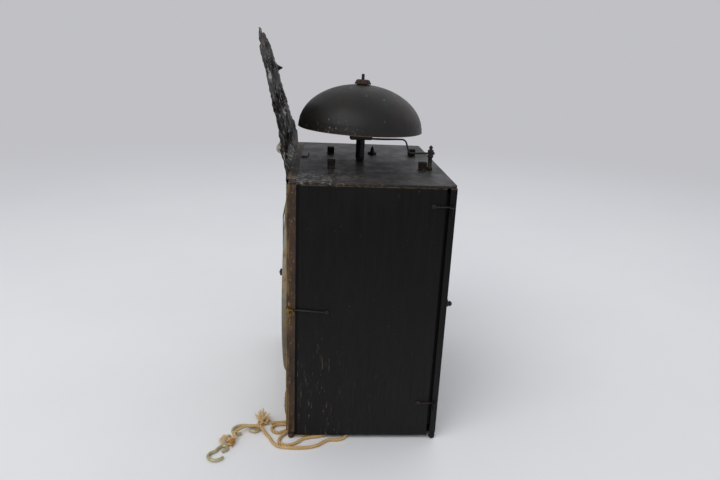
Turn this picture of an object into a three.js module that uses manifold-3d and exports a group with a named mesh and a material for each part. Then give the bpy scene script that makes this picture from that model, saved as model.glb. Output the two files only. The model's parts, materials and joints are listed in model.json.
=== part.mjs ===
// A comtoise clock movement in its iron cage: bell on top, embossed crest leaning forward over the dial,
// sheet doors at both sides, two weight trains inside and the loose ends of both ropes on the table.
// Millimetres, +Z up, dial towards -Y, +X to the right of someone who faces the dial.
import * as THREE from "three";
import { mergeVertices } from "three/addons/utils/BufferGeometryUtils.js";
import Module from "manifold-3d";

const wasm = await Module();
wasm.setup();

// Turns and clearances
const degree = Math.PI / 180;
const fullTurn = 2 * Math.PI;
const halfTurn = Math.PI;
const quarterTurn = Math.PI / 2;
const clearance = 0.3; // between two pieces that touch or run in each other
const overrun = 1; // how far a cutting tool passes the face that it cuts

// How finely round things are drawn
const fineSides = 36;
const roundSides = 16;
const rodSides = 8;
const wireSides = 6;
const squareSides = 4;
const cornerSteps = 2;
const curveSteps = 6;

// The cage
const cage = { width: 242, depth: 156, clearHeight: 265.4, cornerRadius: 4 };
const foot = { height: 5, radius: 3.4, crown: 1 };
const plate = { bottom: 3, top: 2 };
const pillar = { front: 7, rear: 6, tenonRadius: 2.2 };
const sheet = { thickness: 1.2 };
const ropeSlot = { width: 14, length: 60 };
const pendulumOpening = { width: 20, depth: 10, behindBar: 2 };
const half = { width: cage.width / 2, depth: cage.depth / 2 };
const bottomUnder = foot.height;
const bottomTop = bottomUnder + plate.bottom;
const topUnder = bottomTop + cage.clearHeight;
const topFace = topUnder + plate.top;
const middleZ = bottomTop + cage.clearHeight / 2;

// Vertical bars that carry the trains, one pair to each train
const bar = { spacing: 84, frontInset: 39.5, rearInset: 21, width: 8, thickness: 6, tenon: 5 };
const barHead = { width: 8, height: 7, notchWidth: 1.8, notchDepth: 2.6 };
const trainX = bar.spacing / 2;
const barFrontY = -half.depth + bar.frontInset;
const barRearY = half.depth - bar.rearInset;
const barFrontFace = barFrontY - bar.thickness / 2;
const barFrontInner = barFrontY + bar.thickness / 2;
const barRearInner = barRearY - bar.thickness / 2;
const barRearFace = barRearY + bar.thickness / 2;

// Where the arbors lie above or below the dial's middle, and how far behind the front bars the wheels lie
const arborHeight = { great: -52, second: -7, third: 33.5, anchor: 65, intermediate: 7 };
const behindBar = { greatWheel: 11.5, ratchet: 15.3, drum: 18, secondWheel: 6.5, escape: 52.5, fly: 40.5 };
const beforeBar = { minuteWheel: 9.9, cannon: 14.5, hourWheel: 20.1, snail: 23.1 };
const dialZ = middleZ;
const greatZ = dialZ + arborHeight.great;
const secondZ = dialZ + arborHeight.second;
const thirdZ = dialZ + arborHeight.third;
const anchorZ = dialZ + arborHeight.anchor;
const intermediateZ = dialZ + arborHeight.intermediate;
const toothAddendumShare = 0.85;
const toothRootShare = 1.25;
const leafAddendumShare = 0.55;
const leafRootShare = 1.4;
const leaves = 6;
const greatWheel = { teeth: 48, y: barFrontY + behindBar.greatWheel, thickness: 3, rim: 6, hub: 12, arm: 9, bore: 5 };
const secondWheel = { teeth: 48, y: barFrontY + behindBar.secondWheel, thickness: 2.4, rim: 4.5, hub: 8, arm: 7 };
const pinion = { length: 6 };
const arbor = { radius: 2.2, pivot: 1.5, hole: 1.8, wideHole: 2.8 };
const greatModule = 2 * (secondZ - greatZ) / (greatWheel.teeth + leaves);
const secondModule = 2 * (thirdZ - secondZ) / (secondWheel.teeth + leaves);

// Barrels
const drum = { radius: 20, front: barFrontY + behindBar.drum, flange: 25, flangeThickness: 1.6, endGap: 4 };
const ratchet = { teeth: 20, radius: 24, root: 20.5, thickness: 2, y: barFrontY + behindBar.ratchet };
const windingSquare = { side: 5, length: 9, y: -half.depth };
const barrelArbor = { radius: 4.5, hole: 4.9, boss: 3 };
const click = { pivotRadius: 33, angle: 150, post: 2, width: 5, thickness: 2, reach: 11.6 };

// Escapement and fly
const escape = { teeth: 30, y: barFrontY + behindBar.escape, thickness: 1.6, rim: 2.6, hub: 5.5, arm: 4, toothDepth: 3.6 };
const teethSpanned = 7.5; // from pallet to pallet
const escapeLeanShare = 0.55;
const pallet = { nose: 1, length: 6, gap: 0.6, width: 5, armWidth: 4.4 };
const crutch = { behindRearBar: 6, radius: 1.3, length: 92, loopRadius: 4.5 };
const fly = { y: barFrontY + behindBar.fly, vane: 26, height: 22, thickness: 1, hub: 5 };

// Motion work in front of the bars
const minuteWheel = { teeth: 45, y: barFrontY - beforeBar.minuteWheel, thickness: 2, rim: 4, hub: 8, arm: 6 };
const cannon = { teeth: 12, y: barFrontY - beforeBar.cannon, tube: 3.1, bore: 2.3, collar: 5 };
const intermediate = { teeth: 36, leaves: 8, thickness: 1.8, hub: 3.2, stud: 2, shoulder: 3.6, seat: 4 };
const hourWheel = { teeth: 32, y: barFrontY - beforeBar.hourWheel, thickness: 1.8, hub: 8, rim: 4, arm: 6, tube: 5 };
const snail = { steps: 12, low: 9, high: 18, y: barFrontY - beforeBar.snail, thickness: 2 };
const intermediateDistance = Math.hypot(trainX, intermediateZ - dialZ);
const intermediateAngle = Math.atan2(intermediateZ - dialZ, trainX);
const motionModule = 2 * intermediateDistance / (cannon.teeth + intermediate.teeth);
const motionPinionModule = 2 * intermediateDistance / (intermediate.leaves + hourWheel.teeth);
const bridge = { belowDial: 34, thickness: 2.8, height: 14, tongueWidth: 13, postRadius: 2, screw: 3, screwHeight: 1.6 };
const bridgeZ = dialZ - bridge.belowDial;
const rack = { width: 7, thickness: 2.4, length: 74, toothDepth: 2, pitch: 3.2, teeth: 12, collar: 4, foot: 6 };
const rackBracket = { aboveDial: 86, height: 12, thickness: 2.8, guideWall: 3.2 };
const rackBracketZ = dialZ + rackBracket.aboveDial;

// Dial, surround, crest and hands
const surround = { inset: 3, thickness: 1, bezel: 3.6, bezelWidth: 6, lap: 8, boss: 17, bossCrown: 3.2, bossInset: 21 };
const surroundWidth = cage.width - 2 * surround.inset;
const dialShare = 0.4576; // of the surround's width
const dial = { radius: surroundWidth * dialShare, crown: 7.2, thickness: 1.6, holeRadius: 7, windingRadius: 5.4, rings: 3 };
const crest = { height: 133.6, drop: 14, lean: 14.7 * degree, thickness: 0.9, flange: 6, fade: 7 };
const crestFold = clearance + crest.thickness;
const crestHalfWidest = surroundWidth / 2;
const handGap = 1;
const surroundFront = -half.depth - clearance - surround.thickness;
const dialEdgeY = surroundFront - clearance - dial.thickness;
const hourHandShare = 0.574; // of the dial's radius
const minuteHandShare = 0.852;
const hourHand = { length: dial.radius * hourHandShare, thickness: 0.9, hub: 7.5, y: dialEdgeY - dial.crown - handGap };
const minuteHand = { length: dial.radius * minuteHandShare, thickness: 0.9, hub: 6.2, y: hourHand.y - 2 * handGap };
const hand = { width: 5, ringRadius: 9, ringWall: 2.6, tipWidth: 2.4, tail: 14 };
const handNut = { radius: 4.4, height: 2.8, stem: 1.6 };

// What stands on the top plate
const bellStand = { x: -8, y: -6, foot: 7.7, neck: 6.4, footPlate: 8.8, footPlateHeight: 1.2, tenon: 2.6 };
const bell = { radius: 68, height: 47, wall: 2.4, rimHeight: 34.3, tilt: 1.5 * degree, hole: 2.3, crown: 3.2, steps: 6 };
const bellRod = { radius: 1.75, height: 91.7 };
const bellNut = { radius: 8.8, bevel: 1.3, height: 4.7 };
const stud = { x: -43, y: 10.5, base: 5, baseHeight: 2.4, height: 9.5, shank: 1.6 };
const crestWire = { x: -6, fromFront: 7.6, radius: 0.9, height: 5.4, reach: 7.6 };
const crestWireY = -half.depth + crestWire.fromFront;
const hammer = { besideTrain: 1.3, fromRear: 13.7, arbor: 2.15, seat: 2.9, collar: 3.15, below: 34 };
const hammerHeight = { collarLow: 13.2, collarHigh: 20.5, finialTop: 25.5 };
const hammerX = trainX + hammer.besideTrain;
const hammerY = half.depth - hammer.fromRear;
const hammerArm = { radius: 0.95, low: 17.2, high: 31, steps: 18 };
const hammerArmReach = { start: 5.2, bend: 22, rise: 27.6 };
const hammerHead = { length: 22.6, width: 8, height: 9.5, drop: 1.1, corner: 1.6 };
const hammerTail = { length: 18, width: 5, thickness: 2.4 };

// At rest the head's outer far corner lies just inside the bell's wall, which sets the arm's length and direction
const struck = { gap: 0.95, angle: -12.8 * degree };
const headAboveRim = hammerArm.high - hammerHead.drop + hammerHead.height - bell.rimHeight;
const wallShare = Math.cos(Math.asin(headAboveRim / (bell.height - bell.crown)));
const struckRadius = (bell.radius - bell.wall) * wallShare - struck.gap;
const cornerX = bellStand.x + struckRadius * Math.cos(struck.angle) - hammerX;
const cornerY = bellStand.y + struckRadius * Math.sin(struck.angle) - hammerY;
const cornerDistance = Math.hypot(cornerX, cornerY);
const headAngle = Math.atan2(cornerX, -cornerY) - Math.asin(hammerHead.width / 2 / cornerDistance);
const headReach = Math.sqrt(cornerDistance ** 2 - (hammerHead.width / 2) ** 2) - hammerHead.length - clearance;

// Doors with their straps and latch hooks
const door = { frontInset: 8.4, rearInset: 9.5, low: 4.4, gap: 0.4 };
const hinge = { outside: 2.8, fromRear: 4, pin: 1.1, wire: 1, belowTop: 19.8, aboveBottom: 39.6, strap: 17, pinBelow: 7.5,
  rivet: 2.4 };
const hingeX = half.width + hinge.outside;
const hingeY = half.depth - hinge.fromRear;
const upperHingeZ = topFace - hinge.belowTop;
const lowerHingeZ = bottomUnder + hinge.aboveBottom;
const latch = { aboveMiddle: 5.8, tipInset: 3, reach: 35, wire: 0.85, eye: 2.1, peg: 1.3, pegLength: 4.4, drop: 5, steps: 12 };
const latchZ = middleZ + latch.aboveMiddle;
const latchTipY = -half.depth + latch.tipInset;
const latchPivotY = latchTipY + latch.reach;
const backLatch = { aboveMiddle: 15.3, inset: 3.4, length: 16, width: 6, thickness: 1.6, knob: 3, knobLength: 3.4, stem: 1.4 };

// Ropes, their knots and hooks
const rope = { radius: 1.7, lift: 0.2, sides: 8, pitch: 8, drumGap: 1.5, bend: 8 };
const ropeDrop = { strikeY: -8, goingY: 0 };
const knot = { radius: 4.4, height: 7.4, length: 12, rows: 5 };
const hook = { wire: 1.7, sides: 6 };

// Materials, in linear colours close to the real finishes
function metal(name, colour, roughness, metalness) {
  const made = new THREE.MeshStandardMaterial({ color: colour, roughness, metalness });
  made.name = name;
  return made;
}
const darkIron = metal("dark_iron", 0x24221f, 0.7, 0.6);
const plateIron = metal("plate_iron", 0x3c3939, 0.6, 0.7);
const rustyIron = metal("rusty_iron", 0x5f3223, 0.85, 0.3);
const bellBronze = metal("bell_bronze", 0x3e3c38, 0.5, 0.8);
const steel = metal("steel", 0x6b6862, 0.4, 0.9);
const brass = metal("brass", 0x8f7440, 0.4, 0.9);
const oldBrass = metal("old_brass", 0x463220, 0.65, 0.6);
const enamel = metal("enamel", 0xe9e6da, 0.2, 0);
const hookBrass = metal("hook_brass", 0x8c7d4b, 0.45, 0.8);
const hemp = metal("hemp", 0xc89650, 0.95, 0);

// Turning three.js geometry into solids and back

function toSolid(geometry) {
  const bare = geometry.clone();
  bare.deleteAttribute("normal");
  bare.deleteAttribute("uv");
  const merged = mergeVertices(bare);
  const index = merged.index.array;
  const data = { numProp: 3, vertProperties: merged.attributes.position.array, triVerts: new Uint32Array(index) };
  return new wasm.Manifold(new wasm.Mesh(data));
}

function toGeometry(solid) {
  const made = solid.getMesh();
  const geometry = new THREE.BufferGeometry();
  geometry.setAttribute("position", new THREE.BufferAttribute(new Float32Array(made.vertProperties), 3));
  geometry.setIndex(new THREE.BufferAttribute(new Uint32Array(made.triVerts), 1));
  geometry.computeVertexNormals();
  return geometry;
}

function join(...geometries) {
  return toGeometry(geometries.map(toSolid).reduce((whole, next) => whole.add(next)));
}

function cut(geometry, ...tools) {
  return toGeometry(tools.map(toSolid).reduce((left, tool) => left.subtract(tool), toSolid(geometry)));
}

// Simple forms, each placed where it belongs

function block(width, depth, height, x, y, low) {
  return new THREE.BoxGeometry(width, depth, height).translate(x, y, low + height / 2);
}

function between(lowCorner, highCorner) {
  const [x0, y0, z0] = lowCorner;
  const [x1, y1, z1] = highCorner;
  const box = new THREE.BoxGeometry(x1 - x0, y1 - y0, z1 - z0);
  return box.translate((x0 + x1) / 2, (y0 + y1) / 2, (z0 + z1) / 2);
}

function upright(radius, low, high, x = 0, y = 0, sides = rodSides, topRadius = radius) {
  const made = new THREE.CylinderGeometry(topRadius, radius, high - low, sides).rotateX(quarterTurn);
  return made.translate(x, y, (low + high) / 2);
}

// A rod along Y, from its front end to its rear end
function along(radius, front, rear, x = 0, z = 0, sides = rodSides) {
  const made = new THREE.CylinderGeometry(radius, radius, rear - front, sides);
  return made.translate(x, (front + rear) / 2, z);
}

function across(radius, left, right, y, z, sides = rodSides) {
  const made = new THREE.CylinderGeometry(radius, radius, right - left, sides).rotateZ(quarterTurn);
  return made.translate((left + right) / 2, y, z);
}

// Turned work about Z from its half profile of [radius, height] points, which run up the outside
function turned(profile, sides = roundSides) {
  const points = profile.map(([radius, height]) => new THREE.Vector2(radius, height));
  return new THREE.LatheGeometry(points, sides).rotateX(quarterTurn);
}

// The same about Y: heights become places along Y
function turnedAlongY(profile, sides = roundSides) {
  const points = profile.map(([radius, place]) => new THREE.Vector2(radius, place));
  return new THREE.LatheGeometry(points, sides);
}

// A flat piece parallel to the dial, from an outline in X and Z, whose front face is at y
function frontPiece(shape, y, thickness, curveSegments = curveSteps) {
  const made = new THREE.ExtrudeGeometry(shape, { depth: thickness, bevelEnabled: false, curveSegments });
  return made.rotateX(quarterTurn).translate(0, y + thickness, 0);
}

// A flat piece parallel to the floor, from an outline in X and Y
function floorPiece(shape, low, thickness, curveSegments = curveSteps) {
  const made = new THREE.ExtrudeGeometry(shape, { depth: thickness, bevelEnabled: false, curveSegments });
  return made.translate(0, 0, low);
}

function polygon(points) {
  return new THREE.Shape(points.map(([x, y]) => new THREE.Vector2(x, y)));
}

function circle(radius, sides) {
  const points = [];
  for (let side = 0; side < sides; side += 1) {
    const angle = side * fullTurn / sides;
    points.push([radius * Math.cos(angle), radius * Math.sin(angle)]);
  }
  return polygon(points);
}

// Round wire or rope bent through the given points
function wire(points, radius, steps, sides = wireSides) {
  const path = new THREE.CatmullRomCurve3(points.map(([x, y, z]) => new THREE.Vector3(x, y, z)));
  return new THREE.ExtrudeGeometry(circle(radius, sides), { steps, extrudePath: path, bevelEnabled: false });
}

function arcPoints(x, y, radius, start, end, count) {
  const points = [];
  for (let step = 0; step <= count; step += 1) {
    const angle = start + (end - start) * step / count;
    points.push([x + radius * Math.cos(angle), y + radius * Math.sin(angle)]);
  }
  return points;
}

function roundedRectangle(width, depth, frontRadius, rearRadius) {
  const x = width / 2;
  const y = depth / 2;
  const shape = new THREE.Shape();
  shape.moveTo(-x + frontRadius, -y);
  shape.lineTo(x - frontRadius, -y);
  shape.absarc(x - frontRadius, -y + frontRadius, frontRadius, -quarterTurn, 0);
  shape.lineTo(x, y - rearRadius);
  shape.absarc(x - rearRadius, y - rearRadius, rearRadius, 0, quarterTurn);
  shape.lineTo(-x + rearRadius, y);
  shape.absarc(-x + rearRadius, y - rearRadius, rearRadius, quarterTurn, halfTurn);
  shape.lineTo(-x, -y + frontRadius);
  shape.absarc(-x + frontRadius, -y + frontRadius, frontRadius, halfTurn, halfTurn + quarterTurn);
  return shape;
}

// Wheel work

// Pointed teeth that meet at their roots
function toothedOutline(teeth, module, addendumShare, rootShare, phase) {
  const pitchRadius = teeth * module / 2;
  const tipRadius = pitchRadius + addendumShare * module;
  const rootRadius = pitchRadius - rootShare * module;
  const halfPitch = halfTurn / teeth;
  const points = [];
  for (let tooth = 0; tooth < teeth; tooth += 1) {
    const centre = phase + 2 * tooth * halfPitch;
    points.push([rootRadius * Math.cos(centre - halfPitch), rootRadius * Math.sin(centre - halfPitch)]);
    points.push([tipRadius * Math.cos(centre), tipRadius * Math.sin(centre)]);
  }
  return polygon(points);
}

const crossings = 4;

// The open sectors that leave arms between hub and rim
function cutCrossings(shape, hubRadius, rimRadius, armWidth) {
  for (let sector = 0; sector < crossings; sector += 1) {
    const middle = (sector + 1 / 2) * fullTurn / crossings;
    const halfSector = halfTurn / crossings;
    const outer = halfSector - Math.asin(armWidth / 2 / rimRadius);
    const inner = halfSector - Math.asin(armWidth / 2 / hubRadius);
    const outline = arcPoints(0, 0, rimRadius, middle - outer, middle + outer, crossings);
    const back = arcPoints(0, 0, hubRadius, middle + inner, middle - inner, 1);
    const hole = new THREE.Path([...outline, ...back].map(([x, y]) => new THREE.Vector2(x, y)));
    shape.holes.push(hole);
  }
  return shape;
}

function wheelBlank(size, module, phase) {
  const outline = toothedOutline(size.teeth, module, toothAddendumShare, toothRootShare, phase);
  const rootRadius = size.teeth * module / 2 - toothRootShare * module;
  cutCrossings(outline, size.hub, rootRadius - size.rim, size.arm);
  return frontPiece(outline, size.y, size.thickness);
}

function pinionBody(count, module, front, length, phase) {
  const outline = toothedOutline(count, module, leafAddendumShare, leafRootShare, phase);
  return frontPiece(outline, front, length);
}

// The gap of a pinion lies on the line of centres at this angle
function gapPhase(count, angle) {
  return angle + halfTurn / count;
}

// The model

const whole = new THREE.Group();
const placed = new THREE.Group();
whole.add(placed);

function add(name, geometry, material, x = 0, y = 0, z = 0) {
  const mesh = new THREE.Mesh(geometry, material);
  mesh.name = name;
  mesh.position.set(x, y, z);
  placed.add(mesh);
  return mesh;
}

// Cage plates

const pillarPlaces = [];
for (const side of [-1, 1]) {
  pillarPlaces.push([side * (half.width - pillar.front / 2), -half.depth + pillar.front / 2]);
  pillarPlaces.push([side * (half.width - pillar.rear / 2), half.depth - pillar.rear / 2]);
}
const barPlaces = [];
for (const side of [-1, 1]) {
  barPlaces.push([side * trainX, barFrontY]);
  barPlaces.push([side * trainX, barRearY]);
}

function tenonHoles(low, high) {
  const round = pillarPlaces.map(([x, y]) => upright(pillar.tenonRadius + clearance, low, high, x, y, wireSides));
  const hole = bar.tenon + 2 * clearance;
  const square = barPlaces.map(([x, y]) => block(hole, hole, high - low, x, y, low));
  return [...round, ...square];
}

function makeBottomPlate() {
  const width = cage.width - 2 * (sheet.thickness + door.gap);
  const blank = floorPiece(roundedRectangle(width, cage.depth, 0, 0), bottomUnder, plate.bottom);
  const low = bottomUnder - overrun;
  const high = bottomTop + overrun;
  const slots = [[trainX + drum.radius + rope.radius, ropeDrop.strikeY],
    [-trainX + drum.radius + rope.radius, ropeDrop.goingY]];
  const slotTools = slots.map(([x, y]) => block(ropeSlot.width, ropeSlot.length, high - low, x, y, low));
  const openingY = barRearFace + pendulumOpening.behindBar + pendulumOpening.depth / 2;
  const opening = block(pendulumOpening.width, pendulumOpening.depth, high - low, -trainX, openingY, low);
  return cut(blank, ...tenonHoles(low, high), ...slotTools, opening);
}

function makeTopPlate() {
  const blank = floorPiece(roundedRectangle(cage.width, cage.depth, overrun, cage.cornerRadius), topUnder,
    plate.top);
  const low = topUnder - overrun;
  const high = topFace + overrun;
  const round = [[bellStand.tenon, bellStand.x, bellStand.y], [stud.shank, stud.x, stud.y],
    [crestWire.radius, crestWire.x, crestWireY], [hammer.arbor, hammerX, hammerY]];
  const holes = round.map(([radius, x, y]) => upright(radius + clearance, low, high, x, y, wireSides));
  return cut(blank, ...tenonHoles(low, high), ...holes);
}

add("bottom_plate", makeBottomPlate(), darkIron);
add("top_plate", makeTopPlate(), plateIron);

// Pillars: square bars whose tenons pass both plates; the lower ends are peened into round feet

function makePillar(side, isFront) {
  const size = isFront ? pillar.front : pillar.rear;
  const [x, y] = [side * (half.width - size / 2), (isFront ? -1 : 1) * (half.depth - size / 2)];
  const shaft = block(size, size, topUnder - bottomTop - 2 * clearance, x, y, bottomTop + clearance);
  const tenon = upright(pillar.tenonRadius, bottomUnder - foot.crown, topFace, x, y, wireSides);
  const footTop = bottomUnder - clearance;
  const footProfile = [[0, 0], [foot.radius - foot.crown, 0], [foot.radius, foot.crown],
    [foot.radius, footTop - foot.crown], [foot.radius - foot.crown, footTop], [0, footTop]];
  const parts = [shaft, tenon, turned(footProfile, rodSides).translate(x, y, 0)];
  if (isFront) {
    const [inner, outer] = [half.width - size / 2, half.width + latch.pegLength];
    const peg = across(latch.peg, Math.min(side * inner, side * outer), Math.max(side * inner, side * outer),
      latchTipY, latchZ, wireSides);
    return join(...parts, peg);
  }
  return join(...parts, ...[upperHingeZ, lowerHingeZ].map((z) => makePintle(side, z)));
}

// An L of round wire: in the pillar at its low end, and up through the strap's eye
function makePintle(side, eyeZ) {
  const low = eyeZ - hinge.pinBelow;
  const high = eyeZ + 2 * hinge.wire + clearance;
  const leg = across(hinge.pin, Math.min(side * (half.width - hinge.pin), side * hingeX),
    Math.max(side * (half.width - hinge.pin), side * hingeX), hingeY, low, wireSides);
  const pin = upright(hinge.pin, low - hinge.pin, high, side * hingeX, hingeY, wireSides);
  return join(leg, pin);
}

for (const [sideName, side] of [["left", -1], ["right", 1]]) {
  add(`front_${sideName}_pillar`, makePillar(side, true), oldBrass);
  add(`rear_${sideName}_pillar`, makePillar(side, false), darkIron);
}

// Back plate between the rear pillars, with a stiffening fold at each upright edge

const backPlateRear = half.depth - pillar.rear + 3 * sheet.thickness;

function makeBackPlate() {
  const x = half.width - pillar.rear - clearance;
  const sheetPart = between([-x, backPlateRear - sheet.thickness, bottomTop + clearance],
    [x, backPlateRear, topUnder - clearance]);
  const folds = [-1, 1].map((side) => {
    const [near, far] = [side * x, side * (x - sheet.thickness)];
    return between([Math.min(near, far), backPlateRear - pillar.rear, bottomTop + pillar.rear],
      [Math.max(near, far), backPlateRear, topUnder - pillar.rear]);
  });
  return join(sheetPart, ...folds);
}

add("back_plate", makeBackPlate(), darkIron);

// Turn latch: a stem riveted in the rear pillar's back, a tongue over the back plate and a small knob

function makeBackLatch() {
  const front = half.depth + clearance;
  const outline = new THREE.Shape();
  const [reach, halfWidth] = [backLatch.length - backLatch.width / 2, backLatch.width / 2];
  outline.absarc(-reach, 0, halfWidth, quarterTurn, halfTurn + quarterTurn);
  outline.absarc(0, 0, halfWidth, -quarterTurn, quarterTurn);
  const tongue = frontPiece(outline, front, backLatch.thickness);
  const rear = front + backLatch.thickness;
  const knob = turnedAlongY([[0, rear - sheet.thickness], [backLatch.stem, rear - sheet.thickness],
    [backLatch.stem, rear], [backLatch.knob, rear + backLatch.knobLength / 2],
    [backLatch.stem, rear + backLatch.knobLength], [0, rear + backLatch.knobLength]], rodSides);
  return join(tongue, knob);
}

add("back_latch", makeBackLatch(), rustyIron, half.width - backLatch.inset, 0,
  middleZ + backLatch.aboveMiddle);

// Train bars

function makeBar(side, isFront) {
  const [x, y] = [side * trainX, isFront ? barFrontY : barRearY];
  const shaft = block(bar.width, bar.thickness, topUnder - bottomTop - 2 * clearance, x, y, bottomTop + clearance);
  const tenon = block(bar.tenon, bar.tenon, topFace + overrun - bottomUnder, x, y, bottomUnder);
  const head = block(barHead.width, barHead.width, barHead.height, x, y, topFace + clearance);
  const headTop = topFace + clearance + barHead.height;
  const notch = block(barHead.notchWidth, 2 * barHead.width, 2 * barHead.notchDepth, x, y,
    headTop - barHead.notchDepth);
  const [front, rear] = [y - bar.thickness, y + bar.thickness];
  const holes = [along(barrelArbor.hole, front, rear, x, greatZ),
    along(isFront && side < 0 ? arbor.wideHole : arbor.hole, front, rear, x, secondZ),
    along(arbor.hole, front, rear, x, thirdZ)];
  if (side < 0) holes.push(along(arbor.hole, front, rear, x, anchorZ));
  return cut(join(shaft, tenon, head), ...holes, notch);
}

// The barrel's hole is wider than a plain bar, so the bar swells round it
const intermediateShoulder = barFrontFace - intermediate.seat;

function makeBoredBar(side, isFront) {
  const y = isFront ? barFrontY : barRearY;
  const [front, rear] = [y - bar.thickness / 2, y + bar.thickness / 2];
  const boss = along(barrelArbor.hole + barrelArbor.boss, front, rear, side * trainX, greatZ, roundSides);
  const parts = [makeBar(side, isFront), boss];
  if (isFront && side > 0) {
    parts.push(along(intermediate.shoulder, intermediateShoulder, y, trainX, intermediateZ));
    parts.push(along(intermediate.stud, hourWheel.y - overrun, y, trainX, intermediateZ));
  }
  return cut(join(...parts), along(barrelArbor.hole, front - overrun, rear + overrun, side * trainX, greatZ));
}

for (const [trainName, side] of [["going", -1], ["strike", 1]]) {
  add(`${trainName}_front_bar`, makeBoredBar(side, true), steel);
  add(`${trainName}_rear_bar`, makeBoredBar(side, false), steel);
}

// Great wheels, barrels and clicks

function makeGreatWheel() {
  const blank = wheelBlank(greatWheel, greatModule, quarterTurn);
  const hub = along(greatWheel.hub, greatWheel.y - overrun, greatWheel.y + greatWheel.thickness, 0, 0, roundSides);
  const postX = click.pivotRadius * Math.cos(click.angle * degree);
  const postZ = click.pivotRadius * Math.sin(click.angle * degree);
  const post = along(click.post, greatWheel.y, ratchet.y + ratchet.thickness, postX, postZ);
  const patch = along(click.width, greatWheel.y, greatWheel.y + greatWheel.thickness, postX, postZ);
  const bore = along(greatWheel.bore, greatWheel.y - 2 * overrun, greatWheel.y + 2 * greatWheel.thickness);
  return cut(join(blank, hub, patch, post), bore);
}

// Sawteeth with a steep side that the click holds
function makeRatchet() {
  const points = [];
  for (let tooth = 0; tooth < ratchet.teeth; tooth += 1) {
    const angle = tooth * fullTurn / ratchet.teeth;
    points.push([ratchet.radius * Math.cos(angle), ratchet.radius * Math.sin(angle)]);
    points.push([ratchet.root * Math.cos(angle), ratchet.root * Math.sin(angle)]);
  }
  return frontPiece(polygon(points.reverse()), ratchet.y, ratchet.thickness);
}

const drumRear = barRearInner - drum.endGap;

function makeBarrel() {
  const flangeFront = drumRear - drum.flangeThickness;
  const profile = [[0, drum.front], [drum.radius, drum.front], [drum.radius, flangeFront],
    [drum.flange, flangeFront], [drum.flange, drumRear], [0, drumRear]];
  const body = turnedAlongY(profile);
  const collar = along(drum.radius, ratchet.y, drum.front + overrun, 0, 0, roundSides);
  const shaft = along(barrelArbor.radius, windingSquare.y + windingSquare.length, barRearFace + overrun);
  const square = between([-windingSquare.side / 2, windingSquare.y, -windingSquare.side / 2],
    [windingSquare.side / 2, windingSquare.y + windingSquare.length + overrun, windingSquare.side / 2]);
  return join(body, makeRatchet(), collar, shaft, square);
}

// A pawl on the wheel's post, its nose against a ratchet tooth
function makeClick() {
  const centreX = click.pivotRadius * Math.cos(click.angle * degree);
  const centreZ = click.pivotRadius * Math.sin(click.angle * degree);
  const ringRadius = click.width / 2 + click.post / 2;
  const outline = new THREE.Shape();
  outline.absarc(0, 0, ringRadius, 0, fullTurn);
  const ring = frontPiece(outline, ratchet.y, click.thickness);
  const tail = polygon([[0, -ringRadius / 2], [0, ringRadius / 2], [click.reach, ringRadius / 4],
    [click.reach, -ringRadius / 4]]);
  const arm = frontPiece(tail, ratchet.y, click.thickness);
  const hole = along(click.post + clearance, ratchet.y - overrun, ratchet.y + click.thickness + overrun);
  const turnedBy = click.angle * degree - quarterTurn - click.width / click.reach;
  return cut(join(ring, arm), hole).rotateY(-turnedBy).translate(centreX, 0, centreZ);
}

for (const [trainName, side] of [["going", -1], ["strike", 1]]) {
  add(`${trainName}_great_wheel`, makeGreatWheel(), brass, side * trainX, 0, greatZ);
  add(`${trainName}_barrel`, makeBarrel(), steel, side * trainX, 0, greatZ);
  add(`${trainName}_click`, makeClick(), steel, side * trainX, 0, greatZ);
}

// Rope wound on the rear of each barrel, beside the place where the free rope leaves it

function makeWinding(dropY) {
  const front = dropY + rope.radius + 3 * clearance;
  const rear = drumRear - drum.flangeThickness - clearance;
  const inner = drum.radius + clearance;
  const outer = inner + 2 * rope.radius;
  const profile = [[inner, front], [outer, front], [outer, rear], [inner, rear], [inner, front]];
  return turnedAlongY(profile);
}

add("going_winding", makeWinding(ropeDrop.goingY), hemp, -trainX, 0, greatZ);
add("strike_winding", makeWinding(ropeDrop.strikeY), hemp, trainX, 0, greatZ);

// Second wheels: a wheel, a pinion behind it that the great wheel drives, and on the going side a
// pinion in front of the bar that drives the minute wheel

const greatMiddle = greatWheel.y + greatWheel.thickness / 2;
const secondMiddle = secondWheel.y + secondWheel.thickness / 2;
const minuteMiddle = minuteWheel.y + minuteWheel.thickness / 2;
const minuteAngle = Math.atan2(dialZ - secondZ, trainX);
const minuteModule = 2 * Math.hypot(trainX, dialZ - secondZ) / (minuteWheel.teeth + leaves);
const pivotFront = barFrontFace - overrun;
const pivotRear = barRearFace + overrun;

function makeSecondWheel(drivesMinutes) {
  const parts = [wheelBlank(secondWheel, secondModule, quarterTurn),
    pinionBody(leaves, greatModule, greatMiddle - pinion.length / 2 + overrun, pinion.length,
      gapPhase(leaves, -quarterTurn)),
    along(arbor.radius, barFrontInner + clearance, barRearInner - clearance),
    along(arbor.pivot, pivotFront, pivotRear)];
  if (drivesMinutes) {
    parts.push(along(arbor.radius, minuteMiddle - pinion.length / 2, barFrontInner + overrun));
    parts.push(pinionBody(leaves, minuteModule, minuteMiddle - pinion.length / 2, pinion.length / 2 + overrun,
      gapPhase(leaves, minuteAngle)));
  }
  return join(...parts);
}

add("going_second_wheel", makeSecondWheel(true), brass, -trainX, 0, secondZ);
add("strike_second_wheel", makeSecondWheel(false), brass, trainX, 0, secondZ);

// Escape wheel with pointed leaning teeth, and the anchor above it

const palletAngle = teethSpanned * halfTurn / escape.teeth;
const crutchY = barRearY + crutch.behindRearBar;
const escapeRadius = (anchorZ - thirdZ) * Math.cos(palletAngle);

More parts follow.
